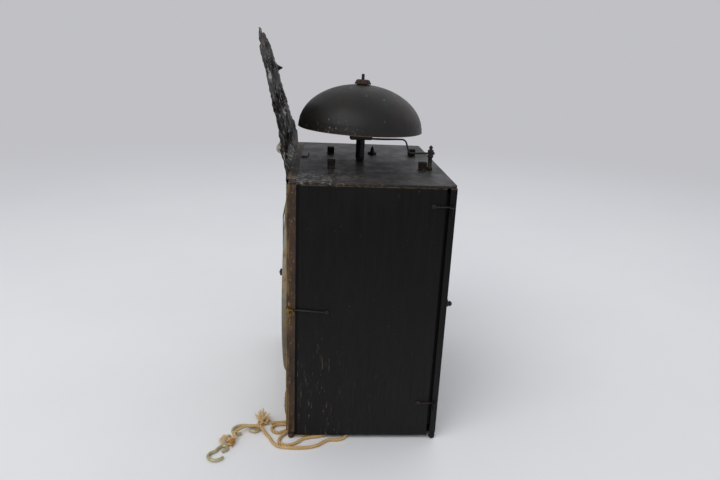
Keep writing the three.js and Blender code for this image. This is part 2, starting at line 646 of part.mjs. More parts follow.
function thirdArbor() {
  const pinionFront = secondMiddle - pinion.length / 2 + overrun / 2;
  return [pinionBody(leaves, secondModule, pinionFront, pinion.length, gapPhase(leaves, -quarterTurn)),
    along(arbor.radius, barFrontInner + clearance, barRearInner - clearance),
    along(arbor.pivot, pivotFront, pivotRear)];
}

function makeEscapeWheel() {
  const pitchAngle = fullTurn / escape.teeth;
  const rootRadius = escapeRadius - escape.toothDepth;
  const tipAngle = quarterTurn + palletAngle + pitchAngle / 4;
  const points = [];
  for (let tooth = 0; tooth < escape.teeth; tooth += 1) {
    const tip = tipAngle + tooth * pitchAngle;
    for (const [radius, share] of [[rootRadius, 0], [escapeRadius, escapeLeanShare], [rootRadius, escapeLeanShare]]) {
      const angle = tip + (share - escapeLeanShare) * pitchAngle;
      points.push([radius * Math.cos(angle), radius * Math.sin(angle)]);
    }
  }
  const outline = cutCrossings(polygon(points), escape.hub, rootRadius - escape.rim, escape.arm);
  return join(frontPiece(outline, escape.y, escape.thickness), ...thirdArbor());
}

function makeAnchor() {
  const drop = anchorZ - thirdZ;
  const armLength = drop * Math.sin(palletAngle);
  const reach = palletAngle;
  const noseX = armLength * Math.cos(reach);
  const noseZ = -armLength * Math.sin(reach);
  const front = escape.y + escape.thickness / 2 - pallet.width / 2;
  const body = [];
  for (const side of [-1, 1]) {
    const inward = new THREE.Vector2(-side * noseX, -drop - noseZ).normalize();
    const tipX = side * noseX - inward.x * pallet.gap;
    const tipZ = noseZ - inward.y * pallet.gap;
    const sideways = new THREE.Vector2(-inward.y, inward.x);
    const [back, wide] = [pallet.length, pallet.nose / 2];
    const outer = [tipX - inward.x * back, tipZ - inward.y * back];
    const arm = pallet.armWidth / 2;
    body.push(frontPiece(polygon([[tipX + sideways.x * wide, tipZ + sideways.y * wide],
      [tipX - sideways.x * wide, tipZ - sideways.y * wide],
      [outer[0] - sideways.x * arm, outer[1] - sideways.y * arm],
      [outer[0] + sideways.x * arm, outer[1] + sideways.y * arm]]), front, pallet.width));
    body.push(frontPiece(polygon([[0, arm], [0, -arm],
      [outer[0] - sideways.x * arm * side, outer[1] - arm], [outer[0], outer[1] + arm]].map(([x, z]) => [x, z])),
    front, pallet.width));
  }
  const boss = along(pallet.armWidth, front, front + pallet.width, 0, 0, rodSides);
  const shaft = along(arbor.radius, barFrontInner + clearance, barRearInner - clearance);
  const pivots = along(arbor.pivot, pivotFront, crutchY);
  const rod = upright(crutch.radius, -crutch.length, crutch.radius, 0, crutchY, wireSides);
  const loop = new THREE.TorusGeometry(crutch.loopRadius, crutch.radius, wireSides, rodSides);
  loop.translate(0, crutchY + crutch.loopRadius, -crutch.length);
  return join(...body, boss, shaft, pivots, rod, loop);
}

add("escape_wheel", makeEscapeWheel(), brass, -trainX, 0, thirdZ);
add("anchor", makeAnchor(), steel, -trainX, 0, anchorZ);

function makeFly() {
  const vanes = between([-fly.vane, fly.y, -fly.thickness / 2], [fly.vane, fly.y + fly.height, fly.thickness / 2]);
  const hub = along(fly.hub, fly.y, fly.y + fly.height, 0, 0, rodSides);
  return join(vanes, hub, ...thirdArbor());
}

add("fly", makeFly(), brass, trainX, 0, thirdZ);

// Motion work: the bridge carries the centre post

function makeBridge() {
  const rear = barFrontFace - clearance;
  const front = rear - bridge.thickness;
  const halfSpan = trainX + bar.width / 2;
  const low = bridgeZ - bridge.height / 2;
  const cross = between([-halfSpan, front, low], [halfSpan, rear, low + bridge.height]);
  const tongue = between([-bridge.tongueWidth / 2, front, low],
    [bridge.tongueWidth / 2, rear, dialZ + bridge.tongueWidth / 2]);
  const post = along(bridge.postRadius, minuteHand.y + minuteHand.thickness, rear, 0, dialZ);
  const screws = [-1, 1].map((side) => along(bridge.screw, front - bridge.screwHeight, rear, side * trainX,
    bridgeZ));
  return join(cross, tongue, post, ...screws);
}

add("motion_bridge", makeBridge(), steel);

const cannonTubeFront = minuteHand.y - minuteHand.thickness / 2;

function makeMinuteWheel() {
  const blank = wheelBlank(minuteWheel, minuteModule, halfTurn + minuteAngle);
  const bore = along(cannon.collar + clearance, minuteWheel.y - overrun,
    minuteWheel.y + minuteWheel.thickness + overrun);
  return cut(blank, bore);
}

const intermediateFront = cannon.y;

function makeCannon() {
  const leavesFront = intermediateFront - clearance;
  const outline = toothedOutline(cannon.teeth, motionModule, toothAddendumShare, toothRootShare,
    gapPhase(cannon.teeth, intermediateAngle));
  const body = frontPiece(outline, leavesFront, intermediate.thickness + 2 * clearance);
  const seat = along(cannon.collar, leavesFront + intermediate.thickness, minuteWheel.y + minuteWheel.thickness);
  const tube = along(cannon.tube, cannonTubeFront, minuteWheel.y + minuteWheel.thickness);
  const bore = along(cannon.bore, cannonTubeFront - overrun, minuteWheel.y + minuteWheel.thickness + overrun);
  return cut(join(body, seat, tube), bore);
}

function makeIntermediateWheel() {
  const outline = toothedOutline(intermediate.teeth, motionModule, toothAddendumShare, toothRootShare,
    intermediateAngle + halfTurn);
  const blank = frontPiece(outline, intermediateFront, intermediate.thickness);
  const small = pinionBody(intermediate.leaves, motionPinionModule, hourWheel.y - clearance,
    intermediateFront - hourWheel.y + overrun, gapPhase(intermediate.leaves, intermediateAngle + halfTurn));
  const hub = along(intermediate.hub, intermediateFront, intermediateShoulder - clearance);
  const bore = along(intermediate.stud + clearance, hourWheel.y - 2 * overrun, barFrontFace);
  return cut(join(blank, small, hub), bore);
}

// The snail's steps fall by one rack tooth from each hour to the next
function makeHourWheel() {
  const blank = wheelBlank(hourWheel, motionPinionModule, intermediateAngle);
  const points = [];
  for (let step = 0; step < snail.steps; step += 1) {
    const radius = snail.low + (snail.high - snail.low) * step / (snail.steps - 1);
    points.push(...arcPoints(0, 0, radius, step * fullTurn / snail.steps, (step + 1) * fullTurn / snail.steps, 2));
  }
  const cam = frontPiece(polygon(points), snail.y, snail.thickness);
  const tubeRear = hourWheel.y + hourWheel.thickness;
  const tube = along(hourWheel.tube, hourHand.y - overrun / 2, tubeRear);
  const hub = along(hourWheel.hub, snail.y, tubeRear);
  const bore = along(cannon.tube + clearance, hourHand.y - 2 * overrun, tubeRear + overrun);
  return cut(join(blank, cam, tube, hub), bore);
}

add("minute_wheel", makeMinuteWheel(), brass, 0, 0, dialZ);
add("cannon_pinion", makeCannon(), steel, 0, 0, dialZ);
add("intermediate_wheel", makeIntermediateWheel(), brass, trainX, 0, intermediateZ);
add("hour_wheel", makeHourWheel(), brass, 0, 0, dialZ);

// Rack: a vertical toothed bar in the bracket's guide, its foot over the snail

const rackFoot = dialZ + snail.high + overrun;
const rackFront = snail.y - clearance;

function makeRack() {
  const points = [[-rack.width / 2, rackFoot], [rack.width / 2, rackFoot]];
  const toothLow = rackFoot + rack.foot;
  for (let tooth = 0; tooth < rack.teeth; tooth += 1) {
    const low = toothLow + tooth * rack.pitch;
    points.push([rack.width / 2, low]);
    points.push([rack.width / 2 - rack.toothDepth, low]);
  }
  points.push([rack.width / 2 - rack.toothDepth, rackFoot + rack.length]);
  points.push([-rack.width / 2, rackFoot + rack.length]);
  const blade = frontPiece(polygon(points), rackFront, rack.thickness);
  const collarLow = rackBracketZ + rackBracket.height / 2 + clearance;
  const collar = between([-rack.width, rackFront, collarLow], [rack.width, rackFront + rack.thickness,
    collarLow + rack.collar]);
  return join(blade, collar);
}

function makeRackBracket() {
  const rear = barFrontFace - clearance;
  const front = rear - rackBracket.thickness;
  const low = rackBracketZ - rackBracket.height / 2;
  const high = low + rackBracket.height;
  const halfSpan = trainX + bar.width / 2;
  const cross = between([-halfSpan, front, low], [halfSpan, rear, high]);
  const guideHalf = rack.width / 2 + clearance + rackBracket.guideWall;
  const guideFront = rackFront - clearance - rackBracket.guideWall;
  const guide = between([-guideHalf, guideFront, low], [guideHalf, rear, high]);
  const slot = between([-rack.width / 2 - clearance, rackFront - clearance, low - overrun],
    [rack.width / 2 + clearance, rackFront + rack.thickness + clearance, high + overrun]);
  const screws = [-1, 1].map((side) => along(bridge.screw, front - bridge.screwHeight, rear, side * trainX,
    rackBracketZ));
  return cut(join(cross, guide, ...screws), slot);
}

add("rack", makeRack(), steel);
add("rack_bracket", makeRackBracket(), steel);

// Dial surround: sheet with a turned bezel and a domed boss in each corner

function makeSurround() {
  const shape = new THREE.Shape();
  const [x, low, high] = [surroundWidth / 2, bottomTop + overrun, topUnder - overrun];
  shape.moveTo(-x, low);
  shape.lineTo(x, low);
  shape.lineTo(x, high);
  shape.lineTo(-x, high);
  const opening = new THREE.Path();
  opening.absarc(0, dialZ, dial.radius - surround.lap, 0, fullTurn, true);
  shape.holes.push(opening);
  const flat = frontPiece(shape, surroundFront, surround.thickness, roundSides);
  const bezelInner = dial.radius + clearance;
  const bezelOuter = bezelInner + surround.bezelWidth;
  const front = surroundFront - surround.bezel;
  const ring = turnedAlongY([[bezelInner, surroundFront + overrun / 2], [bezelOuter, surroundFront + overrun / 2],
    [bezelOuter, surroundFront - surround.bezel / 2], [(bezelInner + bezelOuter) / 2, front],
    [bezelInner, surroundFront - surround.bezel / 2], [bezelInner, surroundFront + overrun / 2]].reverse(),
  fineSides).translate(0, 0, dialZ);
  const bosses = [];
  for (const side of [-1, 1]) {
    for (const z of [low + surround.bossInset, topFace - crest.drop - surround.bossInset]) {
      const rear = surroundFront + overrun / 2;
      const dome = turnedAlongY([[0, rear], [surround.boss, rear], [surround.boss * 3 / 4, surroundFront
        - surround.bossCrown * 3 / 4], [0, surroundFront - surround.bossCrown]].reverse(), rodSides);
      bosses.push(dome.translate(side * (x - surround.bossInset), 0, z));
    }
  }
  return join(flat, ring, ...bosses);
}

add("dial_surround", makeSurround(), oldBrass);

// Enamel dial: a shallow dome with holes for the hands and the two winding squares

function makeDial() {
  const [outer, inner] = [[], []];
  for (let ring = 0; ring <= dial.rings; ring += 1) {
    const radius = dial.radius * ring / dial.rings;
    const rise = dial.crown * (1 - (ring / dial.rings) ** 2);
    outer.push([radius, dialEdgeY - rise]);
    inner.push([radius, dialEdgeY - rise + dial.thickness]);
  }
  const dome = turnedAlongY([...outer, ...inner.reverse()], fineSides).translate(0, 0, dialZ);
  const [front, rear] = [dialEdgeY - 2 * dial.crown, dialEdgeY + 2 * dial.thickness];
  const centre = along(dial.holeRadius, front, rear, 0, dialZ);
  const winding = [-1, 1].map((side) => along(dial.windingRadius, front, rear, side * trainX, greatZ));
  return cut(dome, centre, ...winding);
}

add("dial", makeDial(), enamel);

// Hands: a bar with a ring near its point, and a hub

function makeHand(size, angle) {
  const ringZ = size.length - 2 * hand.ringRadius;
  const shape = polygon([[-hand.width / 2, -hand.tail], [hand.width / 2, -hand.tail],
    [hand.width / 2, ringZ], [hand.tipWidth / 2, size.length], [-hand.tipWidth / 2, size.length], [-hand.width / 2, ringZ]]);
  const blade = frontPiece(shape, size.y, size.thickness);
  const ring = along(hand.ringRadius, size.y, size.y + size.thickness, 0, ringZ, roundSides);
  const hub = along(size.hub, size.y, size.y + size.thickness, 0, 0, roundSides);
  const [front, rear] = [size.y - overrun, size.y + size.thickness + overrun];
  const windows = [-1, 1].map((side) => along(hand.ringRadius / 2 - hand.ringWall / 2, front, rear,
    side * hand.ringRadius / 2, ringZ));
  return cut(join(blade, ring, hub), ...windows).rotateY(angle);
}

const hoursOnDial = 12;
const shownHour = 10;
const hourAngle = shownHour * fullTurn / hoursOnDial;
const hourHandGeometry = cut(makeHand(hourHand, hourAngle),
  along(hourWheel.tube + clearance, hourHand.y - overrun, hourHand.y + hourHand.thickness + overrun));
add("hour_hand", hourHandGeometry, darkIron, 0, 0, dialZ);
const minuteHandGeometry = cut(makeHand(minuteHand, 0),
  along(cannon.tube + clearance, minuteHand.y - overrun, minuteHand.y + minuteHand.thickness + overrun));
add("minute_hand", minuteHandGeometry, darkIron, 0, 0, dialZ);

const nutRear = cannonTubeFront - clearance;
const nutFront = nutRear - handNut.height;
add("hand_nut", turnedAlongY([[0, nutFront - handNut.stem / 2], [handNut.stem, nutFront],
  [handNut.radius, nutFront + handNut.stem / 2], [handNut.radius, nutRear], [0, nutRear]], rodSides),
brass, 0, 0, dialZ);

// Crest: embossed sheet that leans forward over the dial. Heights and half widths are shares of its size.

const crestOutlineShares = [[0, 1], [0.15, 1], [0.2, 0.966], [0.277, 0.78], [0.337, 0.746], [0.39, 0.695],
  [0.45, 0.695], [0.516, 0.644], [0.636, 0.644], [0.689, 0.576], [0.749, 0.525], [0.793, 0.508],
  [0.876, 0.475], [0.913, 0.271], [0.958, 0.203], [1, 0.1]];
const crestBulgeShares = [[0, 0.06, 0.3, 0.1, 0.13], [0, 0.42, 0.2, 0.16, 0.05], [0, 0.72, 0.16, 0.1, 0.035],
  [-0.97, 0.7, 0.07, 0.035, -0.05], [0.62, 0.1, 0.16, 0.08, 0.025], [-0.62, 0.1, 0.16, 0.08, 0.025]];
const crestColumns = 14;
const crestRows = 20;
const crestRay = { count: 9, depth: 0.9, scallops: 11, scallopShare: 0.018 };

function crestHalfWidth(share) {
  const at = Math.max(share, 0);
  for (let row = 1; row < crestOutlineShares.length; row += 1) {
    const [low, lowWidth] = crestOutlineShares[row - 1];
    const [high, highWidth] = crestOutlineShares[row];
    if (at <= high) {
      const along01 = (at - low) / (high - low);
      const ripple = 1 - crestRay.scallopShare * (1 - Math.cos(crestRay.scallops * fullTurn * at));
      return crestHalfWidest * (lowWidth + (highWidth - lowWidth) * along01) * ripple;
    }
  }
  return crestHalfWidest * crestOutlineShares.at(-1)[1];
}

function crestRelief(acrossShare, heightShare) {
  let depth = 0;
  for (const [x, z, xReach, zReach, bulge] of crestBulgeShares) {
    depth += bulge * crest.height * Math.exp(-(((acrossShare - x) / xReach) ** 2) - ((heightShare - z) / zReach) ** 2);
  }
  const angle = Math.atan2(heightShare + crestRay.scallopShare, acrossShare);
  return depth + crestRay.depth * Math.cos(crestRay.count * angle) * Math.sin(halfTurn * Math.abs(acrossShare));
}

// Below the fold the sheet hangs in front of the surround, above it the sheet leans forward
function crestHeights() {
  const heights = [-crest.drop, -crest.drop / 2, 0];
  const above = crestRows - heights.length;
  for (let row = 0; row <= above; row += 1) {
    heights.push(crestFold + (crest.height - crestFold) * row / above);
  }
  return heights;
}

function makeCrest() {
  const positions = [];
  const index = [];
  const rowStride = crestColumns + 1;
  const sideStride = rowStride * (crestRows + 1);
  const baseY = surroundFront - clearance - crest.thickness;
  for (const back of [0, crest.thickness]) {
    for (const height of crestHeights()) {
      const halfWidth = crestHalfWidth(height / crest.height);
      const aboveFold = Math.max(height - crestFold, 0);
      const fade = Math.min(1, Math.max(aboveFold, -height) / crest.fade);
      for (let column = 0; column <= crestColumns; column += 1) {
        const acrossShare = 2 * column / crestColumns - 1;
        const raised = crestRelief(acrossShare, height / crest.height);
        const relief = height > 0 ? raised : Math.abs(raised);
        const y = baseY - aboveFold * Math.tan(crest.lean) - relief * fade + back;
        positions.push(acrossShare * halfWidth, y, topFace + height);
      }
    }
  }
  const quad = (a, b, c, d) => index.push(a, b, c, a, c, d);
  for (let row = 0; row < crestRows; row += 1) {
    for (let column = 0; column < crestColumns; column += 1) {
      const a = row * rowStride + column;
      quad(a, a + 1, a + 1 + rowStride, a + rowStride);
      quad(sideStride + a + rowStride, sideStride + a + 1 + rowStride, sideStride + a + 1, sideStride + a);
    }
  }
  for (let column = 0; column < crestColumns; column += 1) {
    const top = crestRows * rowStride + column;
    quad(column + 1, column, sideStride + column, sideStride + column + 1);
    quad(top, top + 1, sideStride + top + 1, sideStride + top);
  }
  for (let row = 0; row < crestRows; row += 1) {
    const left = row * rowStride;
    const right = left + crestColumns;
    quad(left, left + rowStride, sideStride + left + rowStride, sideStride + left);
    quad(right + rowStride, right, sideStride + right, sideStride + right + rowStride);
  }
  const sheetPart = new THREE.BufferGeometry();
  sheetPart.setAttribute("position", new THREE.BufferAttribute(new Float32Array(positions), 3));
  sheetPart.setIndex(index);
  const flangeHalf = crestHalfWidest - crest.flange;
  const flange = between([-flangeHalf, baseY + crest.thickness / 2, topFace + clearance],
    [flangeHalf, -half.depth + crest.flange, topFace + clearance + crest.thickness]);
  return join(sheetPart, flange);
}

add("crest", makeCrest(), oldBrass);

// Stud with a pointed end, and the bent wire hook behind the crest

function makeStud() {
  const low = topFace + clearance;
  const shank = upright(stud.shank, topUnder - overrun, low + overrun, 0, 0, wireSides);
  const head = turned([[0, low], [stud.base, low], [stud.base, low + stud.baseHeight / 2],
    [stud.base / 2, low + stud.baseHeight], [stud.base / 3, low + stud.height * 2 / 3], [0, low + stud.height]],
  rodSides);
  return join(shank, head);
}

add("pointed_stud", makeStud(), rustyIron, stud.x, stud.y, 0);

const crestWireSteps = 10;
const crestWireShares = [[0, -0.4], [0, 0], [0.12, 0.24], [0.5, 0.17], [0.85, 0.3], [1, 1]];
const crestWirePoints = crestWireShares.map(([back, rise]) => [0, back * crestWire.reach,
  topFace + rise * crestWire.height]);
add("crest_wire", wire(crestWirePoints, crestWire.radius, crestWireSteps), rustyIron, crestWire.x, crestWireY, 0);

// Bell on its stand. The bell and its nut sit a little tilted, about the bell's hole.

const bellApex = topFace + bell.rimHeight + bell.height;

function makeBellStand() {
  const low = topFace + clearance;
  const footPlate = block(bellStand.footPlate, bellStand.footPlate, bellStand.footPlateHeight, 0, 0, low);
  const tenon = upright(bellStand.tenon, topUnder - overrun, low + overrun, 0, 0, wireSides);
  const neckTop = bellApex - bell.crown - clearance;
  const side = Math.SQRT2 / 2;
  const post = new THREE.CylinderGeometry(bellStand.neck * side, bellStand.foot * side,
    neckTop - low, squareSides).rotateY(quarterTurn / 2).rotateX(quarterTurn);
  post.translate(0, 0, (neckTop + low) / 2);
  const rod = upright(bellRod.radius, neckTop - overrun, topFace + bellRod.height);
  return join(footPlate, tenon, post, rod);
}

function makeBell() {
  const rimZ = topFace + bell.rimHeight;
  const outer = [];
  const inner = [];
  const innerRadius = bell.radius - bell.wall;
  const innerHeight = bell.height - bell.crown;
  for (let step = 0; step <= bell.steps; step += 1) {
    const angle = quarterTurn * step / bell.steps;
    outer.push([bell.radius * Math.cos(angle), rimZ + bell.height * Math.sin(angle)]);
    inner.push([innerRadius * Math.cos(angle), rimZ + innerHeight * Math.sin(angle)]);
  }
  outer[bell.steps][0] = bell.hole;
  inner[bell.steps][0] = bell.hole;
  const profile = [...outer, ...inner.reverse(), outer[0]];
  return turned(profile, fineSides);
}

function makeBellNut() {
  const low = bellApex + clearance;
  const top = low + bellNut.height;
  return turned([[bell.hole, low], [bellNut.radius, low], [bellNut.radius, top - bellNut.bevel],
    [bellNut.radius - bellNut.bevel, top], [bell.hole, top], [bell.hole, low]]);
}

const bellGroup = new THREE.Group();
placed.add(bellGroup);
for (const [name, geometry, material] of [["bell_stand", makeBellStand(), rustyIron],
  ["bell", makeBell(), bellBronze], ["bell_nut", makeBellNut(), rustyIron]]) {
  const pivotZ = bellApex;
  if (name !== "bell_stand") geometry.translate(0, 0, -pivotZ).rotateX(-bell.tilt).translate(0, 0, pivotZ);
  const mesh = new THREE.Mesh(geometry, material);
  mesh.name = name;
  mesh.position.set(bellStand.x, bellStand.y, 0);
  bellGroup.add(mesh);
}

// Hammer: upright arbor with collar and finial, a bent wire arm, and a head inside the bell's rim

function makeHammerArbor() {
  const shaft = upright(hammer.arbor, topUnder - hammer.below, topFace + hammerHeight.collarHigh, 0, 0, wireSides);
  const seat = upright(hammer.seat, topFace + clearance, topFace + clearance + hammerTail.thickness);
  const collar = turned([[0, topFace + hammerHeight.collarLow], [hammer.collar, topFace + hammerHeight.collarLow],
    [hammer.collar, topFace + hammerHeight.collarHigh], [hammer.arbor, topFace + hammerHeight.collarHigh + overrun],
    [hammer.arbor, topFace + hammerHeight.finialTop - overrun], [overrun, topFace + hammerHeight.finialTop],
    [0, topFace + hammerHeight.finialTop]], rodSides);
  const tailLow = topUnder - hammer.below;
  const tail = block(hammerTail.length, hammerTail.width, hammerTail.thickness, hammerTail.length / 2, 0, tailLow);
  const hole = across(hammerArm.radius + clearance, -hammer.collar - overrun, hammer.collar + overrun, 0,
    topFace + hammerArm.low, wireSides).rotateZ(quarterTurn + headAngle);
  return cut(join(shaft, seat, collar, tail), hole);
}

function towardsHead(reach) {
  return [reach * Math.sin(headAngle), -reach * Math.cos(headAngle)];
}

function makeHammerArm() {
  const stops = [[-hammer.collar - overrun, hammerArm.low], [hammerArmReach.start, hammerArm.low],
    [hammerArmReach.bend, hammerArm.low], [hammerArmReach.rise, hammerArm.high - hammer.arbor],
    [hammerArmReach.rise + hammer.collar, hammerArm.high], [headReach, hammerArm.high]];
  const points = stops.map(([reach, height]) => [...towardsHead(reach), topFace + height]);
  return wire(points, hammerArm.radius, hammerArm.steps);
}

function makeHammerHead() {
  const shape = new THREE.Shape();
  const [x, z, r] = [hammerHead.width / 2, hammerHead.height, hammerHead.corner];
  shape.moveTo(-x, r);
  shape.lineTo(-x + r, 0);
  shape.lineTo(x - r, 0);
  shape.lineTo(x, r);
  shape.lineTo(x, z - r);
  shape.lineTo(x - r, z);
  shape.lineTo(-x + r, z);
  shape.lineTo(-x, z - r);
  const body = frontPiece(shape, -hammerHead.length, hammerHead.length);
  body.translate(0, -headReach - clearance, topFace + hammerArm.high - hammerHead.drop);
  return body.rotateZ(headAngle);
}

add("hammer_arbor", makeHammerArbor(), rustyIron, hammerX, hammerY, 0);
add("hammer_arm", makeHammerArm(), darkIron, hammerX, hammerY, 0);
add("hammer_head", makeHammerHead(), darkIron, hammerX, hammerY, 0);

// Doors: flat sheets beside the plates, each on two wire straps with eyes round the pintles

function makeDoor(side) {
  const [inner, outer] = [side * (half.width - sheet.thickness), side * half.width];
  return between([Math.min(inner, outer), -half.depth + door.frontInset, door.low],
    [Math.max(inner, outer), half.depth - door.rearInset, topUnder - door.gap]);
}

function makeStrap(side, z) {
  const x = side * (half.width + clearance + hinge.wire);
  const bore = hinge.pin + clearance;
  const eyeRadius = bore + hinge.wire;
  const eye = upright(eyeRadius, z - hinge.wire, z + hinge.wire, side * hingeX, hingeY);
  const leg = wire([[x, hingeY - hinge.strap, z], [x, hingeY - hinge.strap / 2, z],
    [x, hingeY - bore, z]], hinge.wire, cornerSteps);
  const rivet = across(hinge.rivet, Math.min(side * (half.width + clearance), x + side * hinge.wire * 2),
    Math.max(side * (half.width + clearance), x + side * hinge.wire * 2), hingeY - hinge.strap, z);
  const hole = upright(bore, z - hinge.rivet, z + hinge.rivet, side * hingeX, hingeY);
  return cut(join(eye, leg, rivet), hole);
}

function makeLatchHook(side) {
  const x = side * (half.width + clearance + latch.wire);
  const top = latch.peg + latch.wire + clearance;
  const points = [[x, latchPivotY, latchZ], [x, (latchPivotY + latchTipY) / 2, latchZ + top / 2],
    [x, latchTipY + latch.eye, latchZ + top], [x, latchTipY, latchZ + top],
    [x, latchTipY - top, latchZ + latch.peg / 2], [x, latchTipY - top, latchZ - latch.drop / 2]];
  const shaft = wire(points, latch.wire, latch.steps);
  const [near, far] = [side * (half.width + clearance), side * (half.width + clearance + 2 * latch.wire)];
  const knob = across(latch.eye, Math.min(near, far), Math.max(near, far), latchPivotY, latchZ);
  return join(shaft, knob);
}

for (const [sideName, side] of [["left", -1], ["right", 1]]) {
  add(`${sideName}_door`, makeDoor(side), darkIron);
  add(`${sideName}_upper_strap`, makeStrap(side, upperHingeZ), rustyIron);
  add(`${sideName}_lower_strap`, makeStrap(side, lowerHingeZ), rustyIron);
  add(`${sideName}_latch_hook`, makeLatchHook(side), darkIron);
}

// Ropes. Each leaves its barrel beside the winding, drops through its slot and lies on the table.

const ropeZ = rope.radius + rope.lift;
const strikeDropX = trainX + drum.radius + rope.radius + rope.drumGap;
const goingDropX = -trainX + drum.radius + rope.radius + rope.drumGap;

// Places on the table, from the cage's front right corner, where the rope lies low unless a height is given
const corner = { x: half.width, y: -half.depth };
const climbing = 3.4;
const overHook = 6;
const strikeRoute = [[-41, 33], [-27.8, 0], [-25.4, -12], [-24.6, -20.3]];
const goingRoute = [[-101, 88], [-61, 90], [-33, 78], [-24, 48], [-22.6, 23], [-22, 4], [-21.7, -10.6],
  [-19.6, -15.6], [-14.6, -17.7], [-9.6, -15.6], [-7.5, -10.6], [-9.4, -5.6], [-12.6, -1.6],
  [-15.4, 2.8], [-17.2, 8.6], [-17.7, 15.6], [-15.6, 20.6], [-10.6, 22.7], [-5.6, 20.6], [-3.4, 15.6],
  [-5.6, 10.3], [-8.5, 6.4], [-9.4, 2.2], [-7.6, -2], [-2.8, -5.6], [3.8, -8.6], [9.6, -7.6],
  [12.5, -2.8], [12.1, 4], [8.6, 10.2], [3, 16], [0, 24], [-1.4, 32], [-5, 39], [-11.4, 43.6],
  [-14.6, 50.4], [-12, 57.8], [-5, 61.6], [1.6, 58.4], [4.4, 51.4], [4.2, 44.6], [7.6, 38], [13.4, 31.2],
  [16.6, 21], [17, 5.4], [15, -7.6], [8.6, -14.6], [-0.4, -19.4], [-5, -22.6], [-8.5, -25.4, climbing],
  [-12.6, -29.6, overHook], [-14, -38, overHook], [-12.4, -46, overHook], [-8, -51, overHook],
  [-3.8, -54.2, overHook], [-1.7, -55.6, overHook]];

function onTable(points) {
  return points.map(([x, y, ...rest]) => [corner.x + x, corner.y + y, ...rest]);
}

// Off the top of the barrel for a quarter turn, straight down, and then flat along the table
function ropeRoute(dropX, dropY, tablePoints) {
  const floorPoints = onTable(tablePoints);
  const radius = drum.radius + rope.radius + rope.drumGap;
  const points = [];
  const arcSteps = 4;
  for (let step = 0; step <= arcSteps; step += 1) {
    const angle = quarterTurn * (1 - step / arcSteps);
    points.push([dropX - radius + radius * Math.cos(angle), dropY, greatZ + radius * Math.sin(angle)]);
  }
  points.push([dropX, dropY, greatZ * 2 / 3], [dropX, dropY, greatZ / 3]);
  const [nextX, nextY] = floorPoints[0];
  const heading = Math.atan2(nextY - dropY, nextX - dropX);
  for (let step = 0; step <= arcSteps; step += 1) {
    const angle = quarterTurn * step / arcSteps;
    const out = rope.bend * (1 - Math.cos(angle));
    const z = ropeZ + rope.bend * (1 - Math.sin(angle));
    points.push([dropX + out * Math.cos(heading), dropY + out * Math.sin(heading), z]);
  }
  for (const [x, y, z = ropeZ] of floorPoints) points.push([x, y, z]);
  return points;
}

function makeRope(points) {
  let length = 0;
  for (let step = 1; step < points.length; step += 1) {
    length += Math.hypot(...points[step].map((value, axis) => value - points[step - 1][axis]));
  }
  return wire(points, rope.radius, Math.round(length / rope.pitch), rope.sides);
}

add("going_rope", makeRope(ropeRoute(goingDropX, ropeDrop.goingY, goingRoute)), hemp);
add("strike_rope", makeRope(ropeRoute(strikeDropX, ropeDrop.strikeY, strikeRoute)), hemp);

// Knots: an overhand knot is three rounded lobes pulled together
const knots = { strike: [-24.8, -28.7, -60], going: [6, -58.6, -22] };

function makeKnot([x, y, angle]) {
  const lobes = [-1, 0, 1].map((place) => {
    const lobe = new THREE.SphereGeometry(knot.radius, rodSides, knot.rows).scale(1, 1, knot.height / 2 / knot.radius);
    return lobe.translate(place * (knot.length / 2 - knot.radius / 2), place * place * overrun, 0);
  });
  return join(...lobes).rotateZ(angle * degree)
    .translate(corner.x + x, corner.y + y, knot.height / 2 + rope.lift);
}

add("strike_knot", makeKnot(knots.strike), hemp);
add("going_knot", makeKnot(knots.going), hemp);

// S-hooks: one wire bent into a closed eye in the knot and an open hook for the weight
const hookHeight = hook.wire + rope.lift;
const goingHookPoints = [[22.2, -64.2], [19.8, -60], [15.2, -61], [14.4, -65.4], [18.2, -69],
  [22.4, -71], [24.8, -74.6], [29, -76.8], [33.6, -75.2], [36.2, -70.8], [35.4, -65.6], [31.6, -61.6]];
const strikeHookPoints = [[-11.8, -41], [-9.4, -35.2], [-12.7, -31.4], [-17.1, -34.4], [-19, -40.6],
  [-20.2, -47], [-19.1, -53.8], [-14.7, -58.3], [-8.8, -58.2], [-5.2, -53.8], [-5.8, -49]];

function makeHook(points) {
  const placedPoints = onTable(points).map(([x, y]) => [x, y, hookHeight]);
  return wire(placedPoints, hook.wire, 2 * points.length, hook.sides);
}

add("going_s_hook", makeHook(goingHookPoints), hookBrass);
add("strike_s_hook", makeHook(strikeHookPoints), hookBrass);

// The origin is under the middle of the clock without its ropes, on the table
const ropeNames = ["going_rope", "strike_rope", "strike_knot", "going_knot", "going_s_hook", "strike_s_hook"];
const bounds = new THREE.Box3();
whole.updateMatrixWorld(true);
for (const mesh of [...placed.children, ...bellGroup.children]) {
  if (mesh.isMesh && !ropeNames.includes(mesh.name)) bounds.expandByObject(mesh, true);
}
const middle = bounds.getCenter(new THREE.Vector3());
placed.position.set(-middle.x, -middle.y, 0);

export default whole;
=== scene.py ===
"""Comtoise clock movement on a pale table: ropes, embossed sheet, worn iron, bronze and enamel."""
import json
import random
from math import asin, atan2, cos, exp, hypot, pi, radians, sin, sqrt, tan

import bpy
import bmesh
from mathutils import Matrix, Vector, noise


